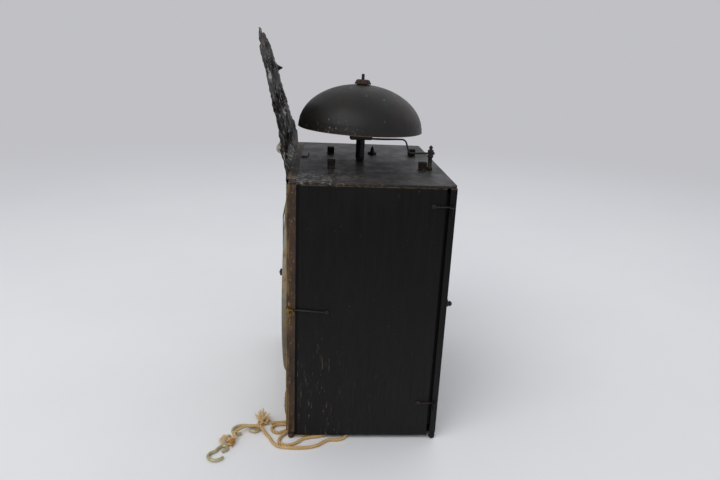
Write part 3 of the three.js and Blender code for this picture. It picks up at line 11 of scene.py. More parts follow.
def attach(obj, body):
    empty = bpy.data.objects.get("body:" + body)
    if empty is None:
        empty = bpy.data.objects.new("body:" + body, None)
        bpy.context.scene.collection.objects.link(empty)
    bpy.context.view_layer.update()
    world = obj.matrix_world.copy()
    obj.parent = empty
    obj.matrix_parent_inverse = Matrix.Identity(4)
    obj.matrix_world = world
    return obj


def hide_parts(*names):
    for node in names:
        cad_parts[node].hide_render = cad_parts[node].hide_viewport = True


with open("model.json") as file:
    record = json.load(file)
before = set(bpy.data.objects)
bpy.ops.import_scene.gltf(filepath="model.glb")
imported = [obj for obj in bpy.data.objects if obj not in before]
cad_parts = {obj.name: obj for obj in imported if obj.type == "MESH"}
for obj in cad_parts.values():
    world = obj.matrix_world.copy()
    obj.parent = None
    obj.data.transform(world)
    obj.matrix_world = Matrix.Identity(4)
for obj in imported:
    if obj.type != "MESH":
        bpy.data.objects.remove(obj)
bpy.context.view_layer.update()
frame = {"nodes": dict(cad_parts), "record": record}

MM = 0.001
SHIFT = 16.403362
TAU = 2 * pi
nodes = frame["nodes"]
scene = bpy.context.scene

# Sizes of the CAD model, in millimetres of the cage's own drawing
HALF_W, HALF_D = 121.0, 78.0
TOP_UNDER, TOP_FACE = 273.4, 275.4
DIAL_Z, GREAT_Z, TRAIN_X = 140.7, 88.7, 42.0
GAP = 0.3
SURROUND_HALF, SURROUND_TALL, SURROUND_Y, SURROUND_T = 118.0, 131.7, -79.3, 1.0
DIAL_R, DIAL_CROWN, DIAL_T, DIAL_Y = 107.99, 7.2, 1.6, -81.2
HOUR_HAND_Y, MINUTE_HAND_Y, HAND_T = -89.4, -91.4, 0.9
CREST_H, CREST_DROP, CREST_T, CREST_LEAN, CREST_FADE = 133.6, 14.0, 0.9, radians(14.7), 7.0
BELL_X, BELL_Y, BELL_R, BELL_H, BELL_RIM, BELL_WALL, BELL_CROWN = -8.0, -6.0, 68.0, 47.0, 34.3, 2.4, 3.2
HAMMER_X, HAMMER_Y = 43.3, 64.3
HEAD_LOW, HEAD_HIGH, HEAD_LENGTH, HEAD_HALF = 29.9, 39.4, 22.6, 4.0
HINGE_X, HINGE_Y, UPPER_HINGE, LOWER_HINGE = 123.8, 74.0, 255.6, 44.6
LATCH_Z, LATCH_TIP, LATCH_PIVOT = 146.5, -75.0, -40.0


def at(x, y, z):
    """A point of the cage's own drawing, in millimetres, as a point of the row frame in metres."""
    return Vector((x * MM, (y + SHIFT) * MM, z * MM))


def placed(name, data):
    """A new object of the scene that shows data."""
    made = bpy.data.objects.new(name, data)
    scene.collection.objects.link(made)
    return made


# Camera at the photograph's viewpoint

YAW, PITCH, ROLL = (radians(a) for a in (3.93, 17.92, 2.46))
forward = Vector((-cos(YAW) * cos(PITCH), sin(YAW) * cos(PITCH), -sin(PITCH)))
level = Vector((sin(YAW), cos(YAW), 0.0))
rise = level.cross(forward)
right = level * cos(ROLL) + rise * sin(ROLL)
up = rise * cos(ROLL) - level * sin(ROLL)

lens = bpy.data.cameras.new("camera")
lens.lens = 29.05
lens.sensor_width = 36.0
lens.clip_start = 0.01
camera = placed("camera", lens)
turn = Matrix((right, up, -forward)).transposed().to_4x4()
camera.matrix_world = Matrix.Translation(at(640.8, -46.4, 389.9)) @ turn
scene.camera = camera


# Mesh helpers

def mesh_object(name, verts, faces, material=None, smooth=True):
    """A new object from its vertices and faces."""
    mesh = bpy.data.meshes.new(name)
    mesh.from_pydata([tuple(v) for v in verts], [], faces)
    mesh.validate()
    if material:
        mesh.materials.append(material)
    if smooth:
        mesh.polygons.foreach_set("use_smooth", [True] * len(mesh.polygons))
    return placed(name, mesh)


def carries(obj, name, values):
    """Keeps one number at each vertex, for the material to read."""
    obj.data.attributes.new(name, "FLOAT", "POINT").data.foreach_set("value", values)


def shaped(obj):
    """A new mesh with what the modifiers or the curve's settings make of obj."""
    return bpy.data.meshes.new_from_object(obj.evaluated_get(bpy.context.evaluated_depsgraph_get()))


def turned_about(pivot, turn):
    return Matrix.Translation(pivot) @ turn @ Matrix.Translation(-pivot)


def smooth_line(points, step):
    """Points at about the given step along a smooth curve through points, all in metres."""
    points = [Vector(p) for p in points]
    dense = []
    for i in range(len(points) - 1):
        p0 = points[max(i - 1, 0)]
        p1, p2 = points[i], points[i + 1]
        p3 = points[min(i + 2, len(points) - 1)]
        t1 = (p2 - p0) * 0.5
        t2 = (p3 - p1) * 0.5
        limit = (p2 - p1).length
        for t in (t1, t2):
            if t.length > 1.2 * limit:
                t.length = 1.2 * limit
        for k in range(12):
            s = k / 12
            h00, h10 = 2 * s**3 - 3 * s**2 + 1, s**3 - 2 * s**2 + s
            h01, h11 = 3 * s**2 - 2 * s**3, s**3 - s**2
            dense.append(p1 * h00 + t1 * h10 + p2 * h01 + t2 * h11)
    dense.append(points[-1])
    lengths = [0.0]
    for a, b in zip(dense, dense[1:]):
        lengths.append(lengths[-1] + (b - a).length)
    count = max(2, round(lengths[-1] / step))
    line, j = [], 0
    for i in range(count + 1):
        want = lengths[-1] * i / count
        while j < len(lengths) - 2 and lengths[j + 1] < want:
            j += 1
        span = lengths[j + 1] - lengths[j]
        line.append(dense[j].lerp(dense[j + 1], (want - lengths[j]) / span if span else 0.0))
    return line


def length_of(line):
    return sum((b - a).length for a, b in zip(line, line[1:]))


def frames_along(line):
    """Tangent, side and up at each point, carried along without twisting."""
    out = []
    tangent = (line[1] - line[0]).normalized()
    side = tangent.orthogonal().normalized()
    for i in range(len(line)):
        ahead = (line[min(i + 1, len(line) - 1)] - line[max(i - 1, 0)]).normalized()
        side = (tangent.rotation_difference(ahead) @ side)
        side = (side - ahead * side.dot(ahead)).normalized()
        tangent = ahead
        out.append((tangent, side, tangent.cross(side)))
    return out


def tube(name, line, radius, sides=12, material=None, section=None):
    """A closed tube along line. radius is a number or a function of the share along it."""
    verts, faces, depths = [], [], []
    basis = frames_along(line)
    total = len(line) - 1
    for i, (p, (_, a, b)) in enumerate(zip(line, basis)):
        share = i / total
        r = radius(share) if callable(radius) else radius
        for k in range(sides):
            angle = TAU * k / sides
            m = section(angle, share) if section else 1.0
            verts.append(p + (a * cos(angle) + b * sin(angle)) * (r * m))
            depths.append(1.0 - m)
    for i in range(total):
        for k in range(sides):
            n = (k + 1) % sides
            faces.append((i * sides + k, i * sides + n, (i + 1) * sides + n, (i + 1) * sides + k))
    for end, i in ((-1, 0), (1, total)):
        r = radius(i / total) if callable(radius) else radius
        verts.append(line[i] + basis[i][0] * (end * r * 0.5))
        c = len(verts) - 1
        for k in range(sides):
            n = (k + 1) % sides
            a, b = i * sides + k, i * sides + n
            faces.append((c, b, a) if end < 0 else (c, a, b))
    made = mesh_object(name, verts, faces, material)
    if section:
        deepest = max(max(depths), 1e-6)
        carries(made, "groove", [max(0.0, d) / deepest for d in depths + [0.0, 0.0]])
    return made


def wire(name, points, radius, sides, material, step):
    """Bent wire through points of the cage's drawing. radius is in millimetres."""
    line = smooth_line([at(*p) for p in points], step * MM)
    thick = (lambda s: radius(s) * MM) if callable(radius) else radius * MM
    return tube(name, line, thick, sides, material)


def joined(name, objects):
    """One object from several new ones, each with its own material."""
    verts, faces, looks, slots, grooves = [], [], [], [], []
    for o in objects:
        base = len(verts)
        own = o.data.materials[0]
        if own not in looks:
            looks.append(own)
        verts += [o.matrix_world @ v.co for v in o.data.vertices]
        faces += [tuple(base + i for i in p.vertices) for p in o.data.polygons]
        slots += [looks.index(own)] * len(o.data.polygons)
        depth = o.data.attributes.get("groove")
        grooves += [d.value for d in depth.data] if depth else [0.0] * len(o.data.vertices)
        bpy.data.objects.remove(o)
    made = mesh_object(name, verts, faces)
    for look in looks:
        made.data.materials.append(look)
    made.data.polygons.foreach_set("material_index", slots)
    carries(made, "groove", grooves)
    return made


def clean(obj, angle=45):
    """Merges what meets, turns every face outwards and keeps sharp edges sharp."""
    work = bmesh.new()
    work.from_mesh(obj.data)
    bmesh.ops.remove_doubles(work, verts=work.verts, dist=1e-6)
    bmesh.ops.dissolve_degenerate(work, edges=work.edges, dist=1e-7)
    bmesh.ops.recalc_face_normals(work, faces=work.faces)
    work.to_mesh(obj.data)
    work.free()
    obj.data.set_sharp_from_angle(angle=radians(angle))
    return obj


def lathe(name, profile, sides, centre, axis="Z", material=None, wobble=None, angle=35):
    """A closed turned piece. profile is [radius, height] in millimetres and closes on itself."""
    verts, faces = [], []
    rows = len(profile)
    for k in range(sides):
        turned = TAU * k / sides
        for r, h in profile:
            m = wobble(turned, r, h) if wobble else 0.0
            x, y = (r + m) * cos(turned), (r + m) * sin(turned)
            local = (x, y, h) if axis == "Z" else (x, h, -y)
            verts.append(at(centre[0] + local[0], centre[1] + local[1], centre[2] + local[2]))
    for k in range(sides):
        n = (k + 1) % sides
        for i in range(rows):
            j = (i + 1) % rows
            if profile[i][0] < 1e-6 and profile[j][0] < 1e-6:
                continue
            faces.append((k * rows + i, n * rows + i, n * rows + j, k * rows + j))
    return clean(mesh_object(name, verts, faces, material), angle)


def thick_sheet(name, front, back, material, closed, angle):
    """A closed sheet between two grids of points. closed joins each row's last column to its first."""
    rows, columns = len(front), len(front[0])
    verts = [p for grid in (front, back) for row in grid for p in row]
    base = rows * columns
    span = columns if closed else columns - 1
    faces = []
    for r in range(rows - 1):
        for c in range(span):
            a, b = r * columns + c, r * columns + (c + 1) % columns
            faces.append((a, b, b + columns, a + columns))
            faces.append((base + a, base + a + columns, base + b + columns, base + b))
    for c in range(span):
        n = (c + 1) % columns
        top = (rows - 1) * columns
        faces.append((n, c, base + c, base + n))
        faces.append((top + c, top + n, base + top + n, base + top + c))
    if not closed:
        for r in range(rows - 1):
            a, b = r * columns, (r + 1) * columns
            faces.append((a, b, base + b, base + a))
            faces.append((b + columns - 1, a + columns - 1, base + a + columns - 1, base + b + columns - 1))
    return clean(mesh_object(name, verts, faces, material), angle)


def sheet_of(name, rows, columns, place, material, closed=False, angle=40):
    """A thick sheet whose place(row, column) gives its front and back point."""
    grid = [[place(r, c) for c in range(columns)] for r in range(rows)]
    front, back = ([[pair[k] for pair in row] for row in grid] for k in (0, 1))
    return thick_sheet(name, front, back, material, closed, angle)


def box_piece(name, low, high, material, bevel, grain):
    """A forged block with rounded edges and a slightly uneven face."""
    work = bmesh.new()
    bmesh.ops.create_cube(work, size=1.0)
    for v in work.verts:
        v.co = at(*[low[i] + (high[i] - low[i]) * (v.co[i] + 0.5) for i in range(3)])
    bmesh.ops.bevel(work, geom=work.edges, offset=bevel * MM, segments=3, affect="EDGES", profile=0.5)
    bmesh.ops.subdivide_edges(work, edges=[e for e in work.edges if e.calc_length() > 1.6 * MM], cuts=3,
                              use_grid_fill=True)
    for v in work.verts:
        v.co += v.co.normalized() * (noise.noise(v.co / MM * 0.35) * grain * MM)
    mesh = bpy.data.meshes.new(name)
    work.to_mesh(mesh)
    work.free()
    mesh.materials.append(material)
    mesh.polygons.foreach_set("use_smooth", [True] * len(mesh.polygons))
    mesh.set_sharp_from_angle(angle=radians(50))
    return placed(name, mesh)


def carved(obj, tools):
    """Cuts the tools out of obj."""
    for tool in tools:
        cut = obj.modifiers.new("cut", "BOOLEAN")
        cut.operation = "DIFFERENCE"
        cut.solver = "EXACT"
        cut.object = tool
    made = shaped(obj)
    obj.modifiers.clear()
    obj.data = made
    for tool in tools:
        bpy.data.objects.remove(tool)


def plate_of(name, outlines, thickness, y, angle, material, bevel):
    """A flat pierced piece parallel to the dial. The first outline is its edge and the others are holes."""
    curve = bpy.data.curves.new(name, "CURVE")
    curve.dimensions = "2D"
    curve.fill_mode = "BOTH"
    curve.extrude = (thickness / 2 - bevel) * MM
    curve.bevel_depth = bevel * MM
    curve.bevel_resolution = 2
    curve.offset = -bevel * MM
    for outline in outlines:
        spline = curve.splines.new("POLY")
        spline.points.add(len(outline) - 1)
        for point, (x, z) in zip(spline.points, outline):
            point.co = (x * MM, z * MM, 0, 1)
        spline.use_cyclic_u = True
    flat = placed(name + "_flat", curve)
    mesh = shaped(flat)
    bpy.data.objects.remove(flat)
    place = Matrix.Translation(at(0, y + thickness / 2, DIAL_Z)) @ Matrix.Rotation(angle, 4, "Y")
    mesh.transform(place @ Matrix.Rotation(pi / 2, 4, "X"))
    mesh.materials.clear()
    mesh.materials.append(material)
    return clean(placed(name, mesh), 40)


def stands_for(obj, body, *replaced):
    """obj takes the place of these CAD nodes and moves with their body."""
    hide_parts(*replaced)
    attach(obj, body)
    return obj


# Material helpers

def rgb(r, g, b):
    """An sRGB colour of 0 to 255 as a linear one."""
    def line(c):
        c /= 255
        return c / 12.92 if c <= 0.04045 else ((c + 0.055) / 1.055) ** 2.4
    return (line(r), line(g), line(b), 1.0)


def node(tree, kind, inputs, **settings):
    """A shader node. Each input is a number, a colour or the output that feeds it."""
    made = tree.nodes.new(kind)
    for key, value in settings.items():
        setattr(made, key, value)
    for key, value in inputs.items():
        if isinstance(value, bpy.types.NodeSocket):
            tree.links.new(value, made.inputs[key])
        else:
            made.inputs[key].default_value = value
    return made


class Surface:
    """A Principled material that is built up in layers over object coordinates."""

    def __init__(self, name, colour, roughness, metallic=0.0, specular=0.5):
        self.material = bpy.data.materials.new(name)
        self.material.use_nodes = True
        self.tree = self.material.node_tree
        self.shader = self.tree.nodes["Principled BSDF"]
        for key, value in (("Base Color", colour), ("Roughness", roughness), ("Metallic", metallic),
                           ("Specular IOR Level", specular)):
            self.shader.inputs[key].default_value = value
        self.place = self.node("ShaderNodeTexCoord", {}).outputs["Object"]
        self.height = None

    def node(self, kind, inputs, **settings):
        return node(self.tree, kind, inputs, **settings)

    def mapped(self, stretch, shift):
        moved = {"Scale": stretch, "Location": shift, "Vector": self.place}
        return self.node("ShaderNodeMapping", moved).outputs["Vector"]

    def noise(self, scale, detail=4.0, rough=0.6, stretch=(1, 1, 1), shift=(0, 0, 0)):
        pattern = {"Scale": scale, "Detail": detail, "Roughness": rough,
                   "Vector": self.mapped(stretch, shift)}
        return self.node("ShaderNodeTexNoise", pattern).outputs["Fac"]

    def cells(self, scale, feature="F1", warp=0.0):
        """Distance in a pattern of cells. warp bends the pattern by up to so many metres."""
        bend = self.node("ShaderNodeTexNoise", {"Scale": 70, "Detail": 4, "Vector": self.place})
        bent = {0: bend.outputs["Color"], 1: (warp, warp, warp), 2: self.place}
        moved = self.node("ShaderNodeVectorMath", bent, operation="MULTIPLY_ADD")
        pattern = {"Scale": scale, "Vector": moved.outputs[0]}
        return self.node("ShaderNodeTexVoronoi", pattern, feature=feature).outputs["Distance"]

    def axis(self, name):
        return self.node("ShaderNodeSeparateXYZ", {"Vector": self.place}).outputs[name]

    def value(self, name):
        """A number that the mesh carries at each vertex."""
        return self.node("ShaderNodeAttribute", {}, attribute_name=name).outputs["Fac"]

    def ramp(self, value, low, high):
        """0 where value is low, rising to 1 where it is high."""
        limits = {"Value": value, "From Min": low, "From Max": high}
        return self.node("ShaderNodeMapRange", limits).outputs["Result"]

    def math(self, operation, *values):
        return self.node("ShaderNodeMath", dict(enumerate(values)), operation=operation).outputs[0]

    def times(self, *masks):
        total = masks[0]
        for mask in masks[1:]:
            total = self.math("MULTIPLY", total, mask)
        return total

    def blend(self, socket, kind, mask, value, strength):
        """Moves one of the shader's inputs towards a value where mask is 1."""
        target = self.shader.inputs[socket]
        before = target.links[0].from_socket if target.is_linked else target.default_value
        mix = {"Factor": self.math("MULTIPLY", mask, strength), "A": before, "B": value}
        self.tree.links.new(self.node("ShaderNodeMix", mix, data_type=kind).outputs["Result"], target)

    def tint(self, mask, colour, strength=1.0):
        self.blend("Base Color", "RGBA", mask, colour, strength)

    def spots(self, low, high, *pattern, **moved):
        """1 where a noise pattern passes high, falling to 0 at low."""
        return self.ramp(self.noise(*pattern, **moved), low, high)

    def stain(self, low, high, colour, strength, *pattern, within=None, **moved):
        """A tint in the spots of a noise pattern, everywhere or only where within is 1."""
        mask = self.spots(low, high, *pattern, **moved)
        self.tint(mask if within is None else self.times(within, mask), rgb(*colour), strength)

    def polish(self, mask, roughness, strength=1.0):
        self.blend("Roughness", "FLOAT", mask, roughness, strength)

    def relief(self, value, weight):
        term = self.math("MULTIPLY", value, weight)
        self.height = term if self.height is None else self.math("ADD", self.height, term)

    def done(self, depth=0.001, strength=0.6):
        if self.height is not None:
            raised = {"Strength": strength, "Distance": depth, "Height": self.height}
            bump = self.node("ShaderNodeBump", raised)
            self.tree.links.new(bump.outputs["Normal"], self.shader.inputs["Normal"])
        return self.material


def hemp_material(name, colour, dark, light):
    s = Surface(name, colour, 0.9, 0.0, 0.25)
    s.tint(s.ramp(s.noise(900, 4), 0.35, 0.65), dark, 0.4)
    s.tint(s.ramp(s.noise(60, 3), 0.45, 0.7), light, 0.7)
    s.stain(0.6, 0.75, (158, 118, 70), 0.5, 35, 3, shift=(0.3, 0.1, 0.7))
    # Painted shade in the grooves between the strands, and a painted highlight on the strands' crowns
    s.tint(s.value("groove"), rgb(112, 76, 40), 0.85)
    s.tint(s.ramp(s.value("groove"), 0.25, 0.0), light, 0.45)
    s.relief(s.noise(2200, 3, 0.7), 1.0)
    return s.done(0.0003, 0.7)


hemp = hemp_material("rope_hemp", rgb(206, 168, 112), rgb(168, 126, 74), rgb(230, 200, 150))
frayed = hemp_material("rope_frayed", rgb(222, 194, 144), rgb(190, 152, 98), rgb(240, 220, 180))
matted = hemp_material("rope_matted", rgb(176, 124, 66), rgb(132, 86, 42), rgb(204, 156, 94))


# Ropes: three strands laid round each other, along the routes of the CAD model

DRUM, ROPE_R, DRUM_GAP, BEND = 20.0, 1.7, 1.5, 8.0
ROPE_Z = ROPE_R + 0.2
CLIMB, OVER = 3.4, 6.0
LAY = 0.0092
# Places on the table from the cage's front right corner, where the rope lies low unless a height is given
STRIKE_ROUTE = [(-41, 33), (-27.8, 0), (-25.4, -12), (-24.6, -20.3)]
GOING_ROUTE = [
    (-101, 88), (-61, 90), (-33, 78), (-24, 48), (-22.6, 23), (-22, 4), (-21.7, -10.6), (-19.6, -15.6),
    (-14.6, -17.7), (-9.6, -15.6), (-7.5, -10.6), (-9.4, -5.6), (-12.6, -1.6), (-15.4, 2.8), (-17.2, 8.6),
    (-17.7, 15.6), (-15.6, 20.6), (-10.6, 22.7), (-5.6, 20.6), (-3.4, 15.6), (-5.6, 10.3), (-8.5, 6.4),
    (-9.4, 2.2), (-7.6, -2), (-2.8, -5.6), (3.8, -8.6), (9.6, -7.6), (12.5, -2.8), (12.1, 4), (8.6, 10.2),
    (3, 16), (0, 24), (-1.4, 32), (-5, 39), (-11.4, 43.6), (-14.6, 50.4), (-12, 57.8), (-5, 61.6),
    (1.6, 58.4), (4.4, 51.4), (4.2, 44.6), (7.6, 38), (13.4, 31.2), (16.6, 21), (17, 5.4), (15, -7.6),
    (8.6, -14.6), (-0.4, -19.4), (-5, -22.6), (-8.5, -25.4, CLIMB), (-12.6, -29.6, OVER),
    (-14, -38, OVER), (-12.4, -46, OVER), (-8, -51, OVER), (-3.8, -54.2, OVER), (-1.7, -55.6, OVER)]
STRIKE_KNOT, GOING_KNOT = (-24.8, -28.7, -60), (6, -58.6, -22)
KNOT_Z = 3.9
STRIKE_HOOK = [(-11.8, -41), (-9.4, -35.2), (-12.7, -31.4), (-17.1, -34.4), (-19, -40.6), (-20.2, -47),
               (-19.1, -53.8), (-14.7, -58.3), (-8.8, -58.2), (-5.2, -53.8), (-5.8, -49)]
GOING_HOOK = [(22.2, -64.2), (19.8, -60), (15.2, -61), (14.4, -65.4), (18.2, -69), (22.4, -71),
              (24.8, -74.6), (29, -76.8), (33.6, -75.2), (36.2, -70.8), (35.4, -65.6), (31.6, -61.6)]
HOOK_WIRE = 1.7
HOOK_Z = HOOK_WIRE + 0.2


def table(x, y):
    """A place on the table from the cage's front right corner, in the cage's own drawing."""
    return (HALF_W + x, y - HALF_D)


def rope_route(side, drop_y, places):
    """Off the top of the barrel for a quarter turn, straight down, then along the table."""
    radius = DRUM + ROPE_R + DRUM_GAP
    drop_x = side * TRAIN_X + radius
    floor = [(*table(p[0], p[1]), p[2] if len(p) > 2 else ROPE_Z) for p in places]
    points = []
    for step in range(5):
        angle = pi / 2 * (1 - step / 4)
        points.append((drop_x - radius + radius * cos(angle), drop_y, GREAT_Z + radius * sin(angle)))
    points += [(drop_x, drop_y, GREAT_Z * 2 / 3), (drop_x, drop_y, GREAT_Z / 3)]
    heading = atan2(floor[0][1] - drop_y, floor[0][0] - drop_x)
    for step in range(5):
        angle = pi / 2 * step / 4
        out = BEND * (1 - cos(angle))
        points.append((drop_x + out * cos(heading), drop_y + out * sin(heading),
                       ROPE_Z + BEND * (1 - sin(angle))))
    return [at(*p) for p in points + floor]


def strand_section(total):
    """Three strands: the outline of the rope at an angle, turned along its length."""
    def section(angle, share):
        lobe = abs(cos(1.5 * (angle - TAU * share * total / LAY)))
        return 0.66 + 0.34 * lobe ** 0.5
    return section


def rope(name, route, node):
    line = smooth_line(route, 0.0008)
    total = length_of(line)
    made = tube(name, line, ROPE_R * MM, 18, hemp, strand_section(total))
    stands_for(made, "cage", node)
    path = smooth_line(route, 0.004)


def winding(name, side, first_y, body, node):
    """The rope on a barrel, turn beside turn."""
    last_y, radius, pitch, steps = 48.1, DRUM + ROPE_R + GAP, 3.45, 40
    turns = (last_y - first_y) / pitch
    count = round(turns * steps)
    line = []
    for k in range(count + 1):
        angle = TAU * k / steps
        line.append(at(side * TRAIN_X + radius * sin(angle), first_y + (last_y - first_y) * k / count,
                       GREAT_Z + radius * cos(angle)))
    made = tube(name, line, ROPE_R * MM, 12, hemp, strand_section(length_of(line)))
    stands_for(made, body, node)


def fibre(name, points, thick, look):
    """One frayed fibre, thinner towards its end. points and thick are in millimetres."""
    line = smooth_line([Vector(p) * MM for p in points], 0.0007)
    return tube(name, line, lambda s: thick * MM * (1 - 0.65 * s), 5, look)


def tied(name, place, node, rope_end, tufts):
    """An overhand knot pulled tight on the table, tied in the end of its rope, with its frayed fibres."""
    swing = Matrix.Rotation(radians(place[2]), 4, "Z")
    route = []
    for k in range(41):
        t = 1.25 * pi * (k / 20 - 1)
        route.append(swing @ Vector((2.34 * sin(2 * t) + 0.99 * t, 2.9 * cos(2 * t) - 0.7 * cos(t),
                                     1.75 * sin(3 * t))) * MM)
    height = rope_end[2] if len(rope_end) > 2 else ROPE_Z
    route.insert(0, Vector((rope_end[0] - place[0], rope_end[1] - place[1], height - KNOT_Z)) * MM)
    line = smooth_line(route, 0.0005)
    parts = [tube(name + "_lay", line, 1.68 * MM, 18, hemp, strand_section(length_of(line)))]
    parts += [fibre(f"{name}_fibre", points, thick, look) for points, thick, look in tufts]
    made = joined(name, parts)
    made.data.transform(Matrix.Translation(at(*table(place[0], place[1]), KNOT_Z)))
    for i, v in enumerate(made.data.vertices):
        v.co.z = max(v.co.z, (0.25 + 0.1 * sin(i)) * MM)
    return stands_for(made, "cage", node)


def any_way(dice):
    return Vector((dice.uniform(-1, 1), dice.uniform(-1, 1), dice.uniform(-1, 1)))


def lock(dice, root, tip, count, spread, thick, look):
    """A lock of fibres that leave one root side by side and draw together to a ragged point."""
    out = []
    root, tip = Vector(root), Vector(tip)
    for k in range(count):
        off = any_way(dice)
        start = root + off * spread * 0.5
        middle = root.lerp(tip, dice.uniform(0.4, 0.6)) + off * spread
        end = root.lerp(tip, dice.uniform(0.78, 1.06)) + off * spread * dice.uniform(0.2, 0.9)
        out.append(([start, middle, end], thick * dice.uniform(0.7, 1.2), look))
    return out


def crown_tuft(dice):
    """Locks that stand up from the knot and fan out like petals, with loose fibres between them."""
    out = []
    tips = [(-5.6, -7.6, 3.2), (-6.6, -4.6, 6.4), (-5.2, -2.0, 8.6), (-4.2, 0.6, 10.4), (-3.4, 3.2, 8.2),
            (-1.8, 6.2, 7.4), (0.6, 7.6, 5.4), (-6.8, 2.2, 5.6), (-1.0, -3.2, 6.0), (0.8, 2.6, 6.2)]
    for tip in tips:
        root = (dice.uniform(-2.6, 0.6), tip[1] * 0.28, dice.uniform(0.4, 2.2))
        out += lock(dice, root, [1.22 * c for c in tip], 14, 1.05, 0.32, frayed)
    for k in range(46):
        fan = dice.uniform(-1, 1)
        root = Vector((dice.uniform(-3.4, 1.0), fan * 2.8, dice.uniform(0.2, 2.8)))
        aim = Vector((dice.uniform(-0.9, 0.1), fan * 0.95, dice.uniform(0.3, 1.1))).normalized()
        end = root + aim * dice.uniform(4.5, 10.5)
        bow = Vector((dice.uniform(-1, 1), dice.uniform(-1, 1), dice.uniform(-0.4, 0.6)))
        out.append(([root, root.lerp(end, 0.55) + bow * 0.8, end + bow], dice.uniform(0.12, 0.22), frayed))
    return out


def looped_tuft(dice):
    """Fibres that arch over from the knot and back to the table, beside a matted ball with a short end."""
    out = []
    for k in range(46):
        spread = dice.uniform(-1, 1)
        root = Vector((dice.uniform(-2.5, 2.0), dice.uniform(-3.0, -0.5), dice.uniform(0.0, 2.6)))
        reach = dice.uniform(4.5, 10.5)
        aim = Vector((0.35 + 0.6 * spread, -0.9, 0)).normalized()
        over = root + aim * reach * 0.5 + Vector((0, 0, dice.uniform(1.6, 4.2)))
        down = root + aim * reach + Vector((0, 0, dice.uniform(-2.6, -0.8)))
        back = root + aim * reach * dice.uniform(0.35, 0.8) + Vector((spread, 0.6, -2.2))
        out.append(([root, over, down, back], dice.uniform(0.14, 0.26), frayed))
    centre = Vector((3.6, 2.2, 0.2))
    for k in range(80):
        axis = any_way(dice).normalized()
        start = axis.orthogonal().normalized() * dice.uniform(2.2, 3.5)
        turns = [Matrix.Rotation(radians(a), 3, axis) for a in (0, 50, 100, 150, 205)]
        out.append(([centre + turned @ start for turned in turns], dice.uniform(0.2, 0.34), matted))
    short_end = (centre + Vector((1.5, 0.5, -1)), centre + Vector((5.2, 1.2, -3.2)))
    return out + lock(dice, *short_end, 12, 0.6, 0.3, matted)


def s_hook(name, places, node):
    """One bent wire with an eye in the knot and an open end for the weight."""
    points = [(*table(x, y), HOOK_Z) for x, y in places]
    made = wire(name, points, lambda s: HOOK_WIRE * (1 - 0.12 * s), 16, hook_wire, 0.7)
    return stands_for(made, "cage", node)


# Floor, light and background

def plain(name, colour, roughness):
    made = bpy.data.materials.new(name)
    made.use_nodes = True
    shader = made.node_tree.nodes["Principled BSDF"]
    shader.inputs["Base Color"].default_value = colour
    shader.inputs["Roughness"].default_value = roughness
    return made


BACKGROUND = rgb(192, 192, 197)


def seen_rays(tree):
    """1 for what the camera, a reflection or a clear piece sees, 0 for light."""
    rays = node(tree, "ShaderNodeLightPath", {})
    total = rays.outputs["Is Camera Ray"]
    for name in ("Is Glossy Ray", "Is Transmission Ray"):
        either = {0: total, 1: rays.outputs[name]}
        total = node(tree, "ShaderNodeMath", either, operation="MAXIMUM").outputs[0]
    return total


def floor_paint():
    """Pale paint that turns into the background's colour far from the clock."""
    s = Surface("floor_paint", rgb(240, 240, 242), 0.55, 0.0, 0.3)
    s.stain(0.4, 0.7, (234, 235, 238), 0.6, 3, 4)
    away = s.node("ShaderNodeVectorMath", {0: s.place}, operation="LENGTH").outputs["Value"]
    reach = {"Value": away, "From Min": 0.5, "From Max": 2.2}
    far = s.node("ShaderNodeMapRange", reach, interpolation_type="SMOOTHSTEP").outputs["Result"]
    glow = s.node("ShaderNodeEmission", {"Color": BACKGROUND})
    parts = {0: s.times(far, seen_rays(s.tree)), 1: s.shader.outputs[0], 2: glow.outputs[0]}
    mix = s.node("ShaderNodeMixShader", parts)
    s.tree.links.new(mix.outputs[0], s.tree.nodes["Material Output"].inputs["Surface"])
    return s.done()


floor = mesh_object("floor", [(-9, -9, 0), (9, -9, 0), (9, 9, 0), (-9, 9, 0)], [(0, 1, 2, 3)], floor_paint(),
                    smooth=False)


def make_world():
    """Even light from all round, with the background's own colour for what the camera sees."""
    world = bpy.data.worlds.new("world")
    scene.world = world
    world.use_nodes = True
    tree = world.node_tree
    tree.nodes.clear()
    lit = node(tree, "ShaderNodeBackground", {"Color": (0.95, 0.97, 1.0, 1), "Strength": 0.62})
    seen = node(tree, "ShaderNodeBackground", {"Color": BACKGROUND, "Strength": 1.0})
    mix = node(tree, "ShaderNodeMixShader", {0: seen_rays(tree), 1: lit.outputs[0], 2: seen.outputs[0]})
    node(tree, "ShaderNodeOutputWorld", {"Surface": mix.outputs[0]})


make_world()


def area_light(name, place, size, power):
    """A round lamp that faces the middle of the clock."""
    data = bpy.data.lights.new(name, "AREA")
    data.shape = "DISK"
    data.size = size
    data.energy = power
    made = placed(name, data)
    made.location = place
    made.rotation_mode = "QUATERNION"
    made.rotation_quaternion = (Vector((0, 0, 0.2)) - Vector(place)).to_track_quat("-Z", "Y")


area_light("key", (1.0, -0.8, 1.6), 1.4, 12)
area_light("fill", (-1.2, 1.0, 1.5), 2.4, 4.5)
scene.view_settings.view_transform = "Standard"


# Materials. Their heights and depths are in metres of the row frame

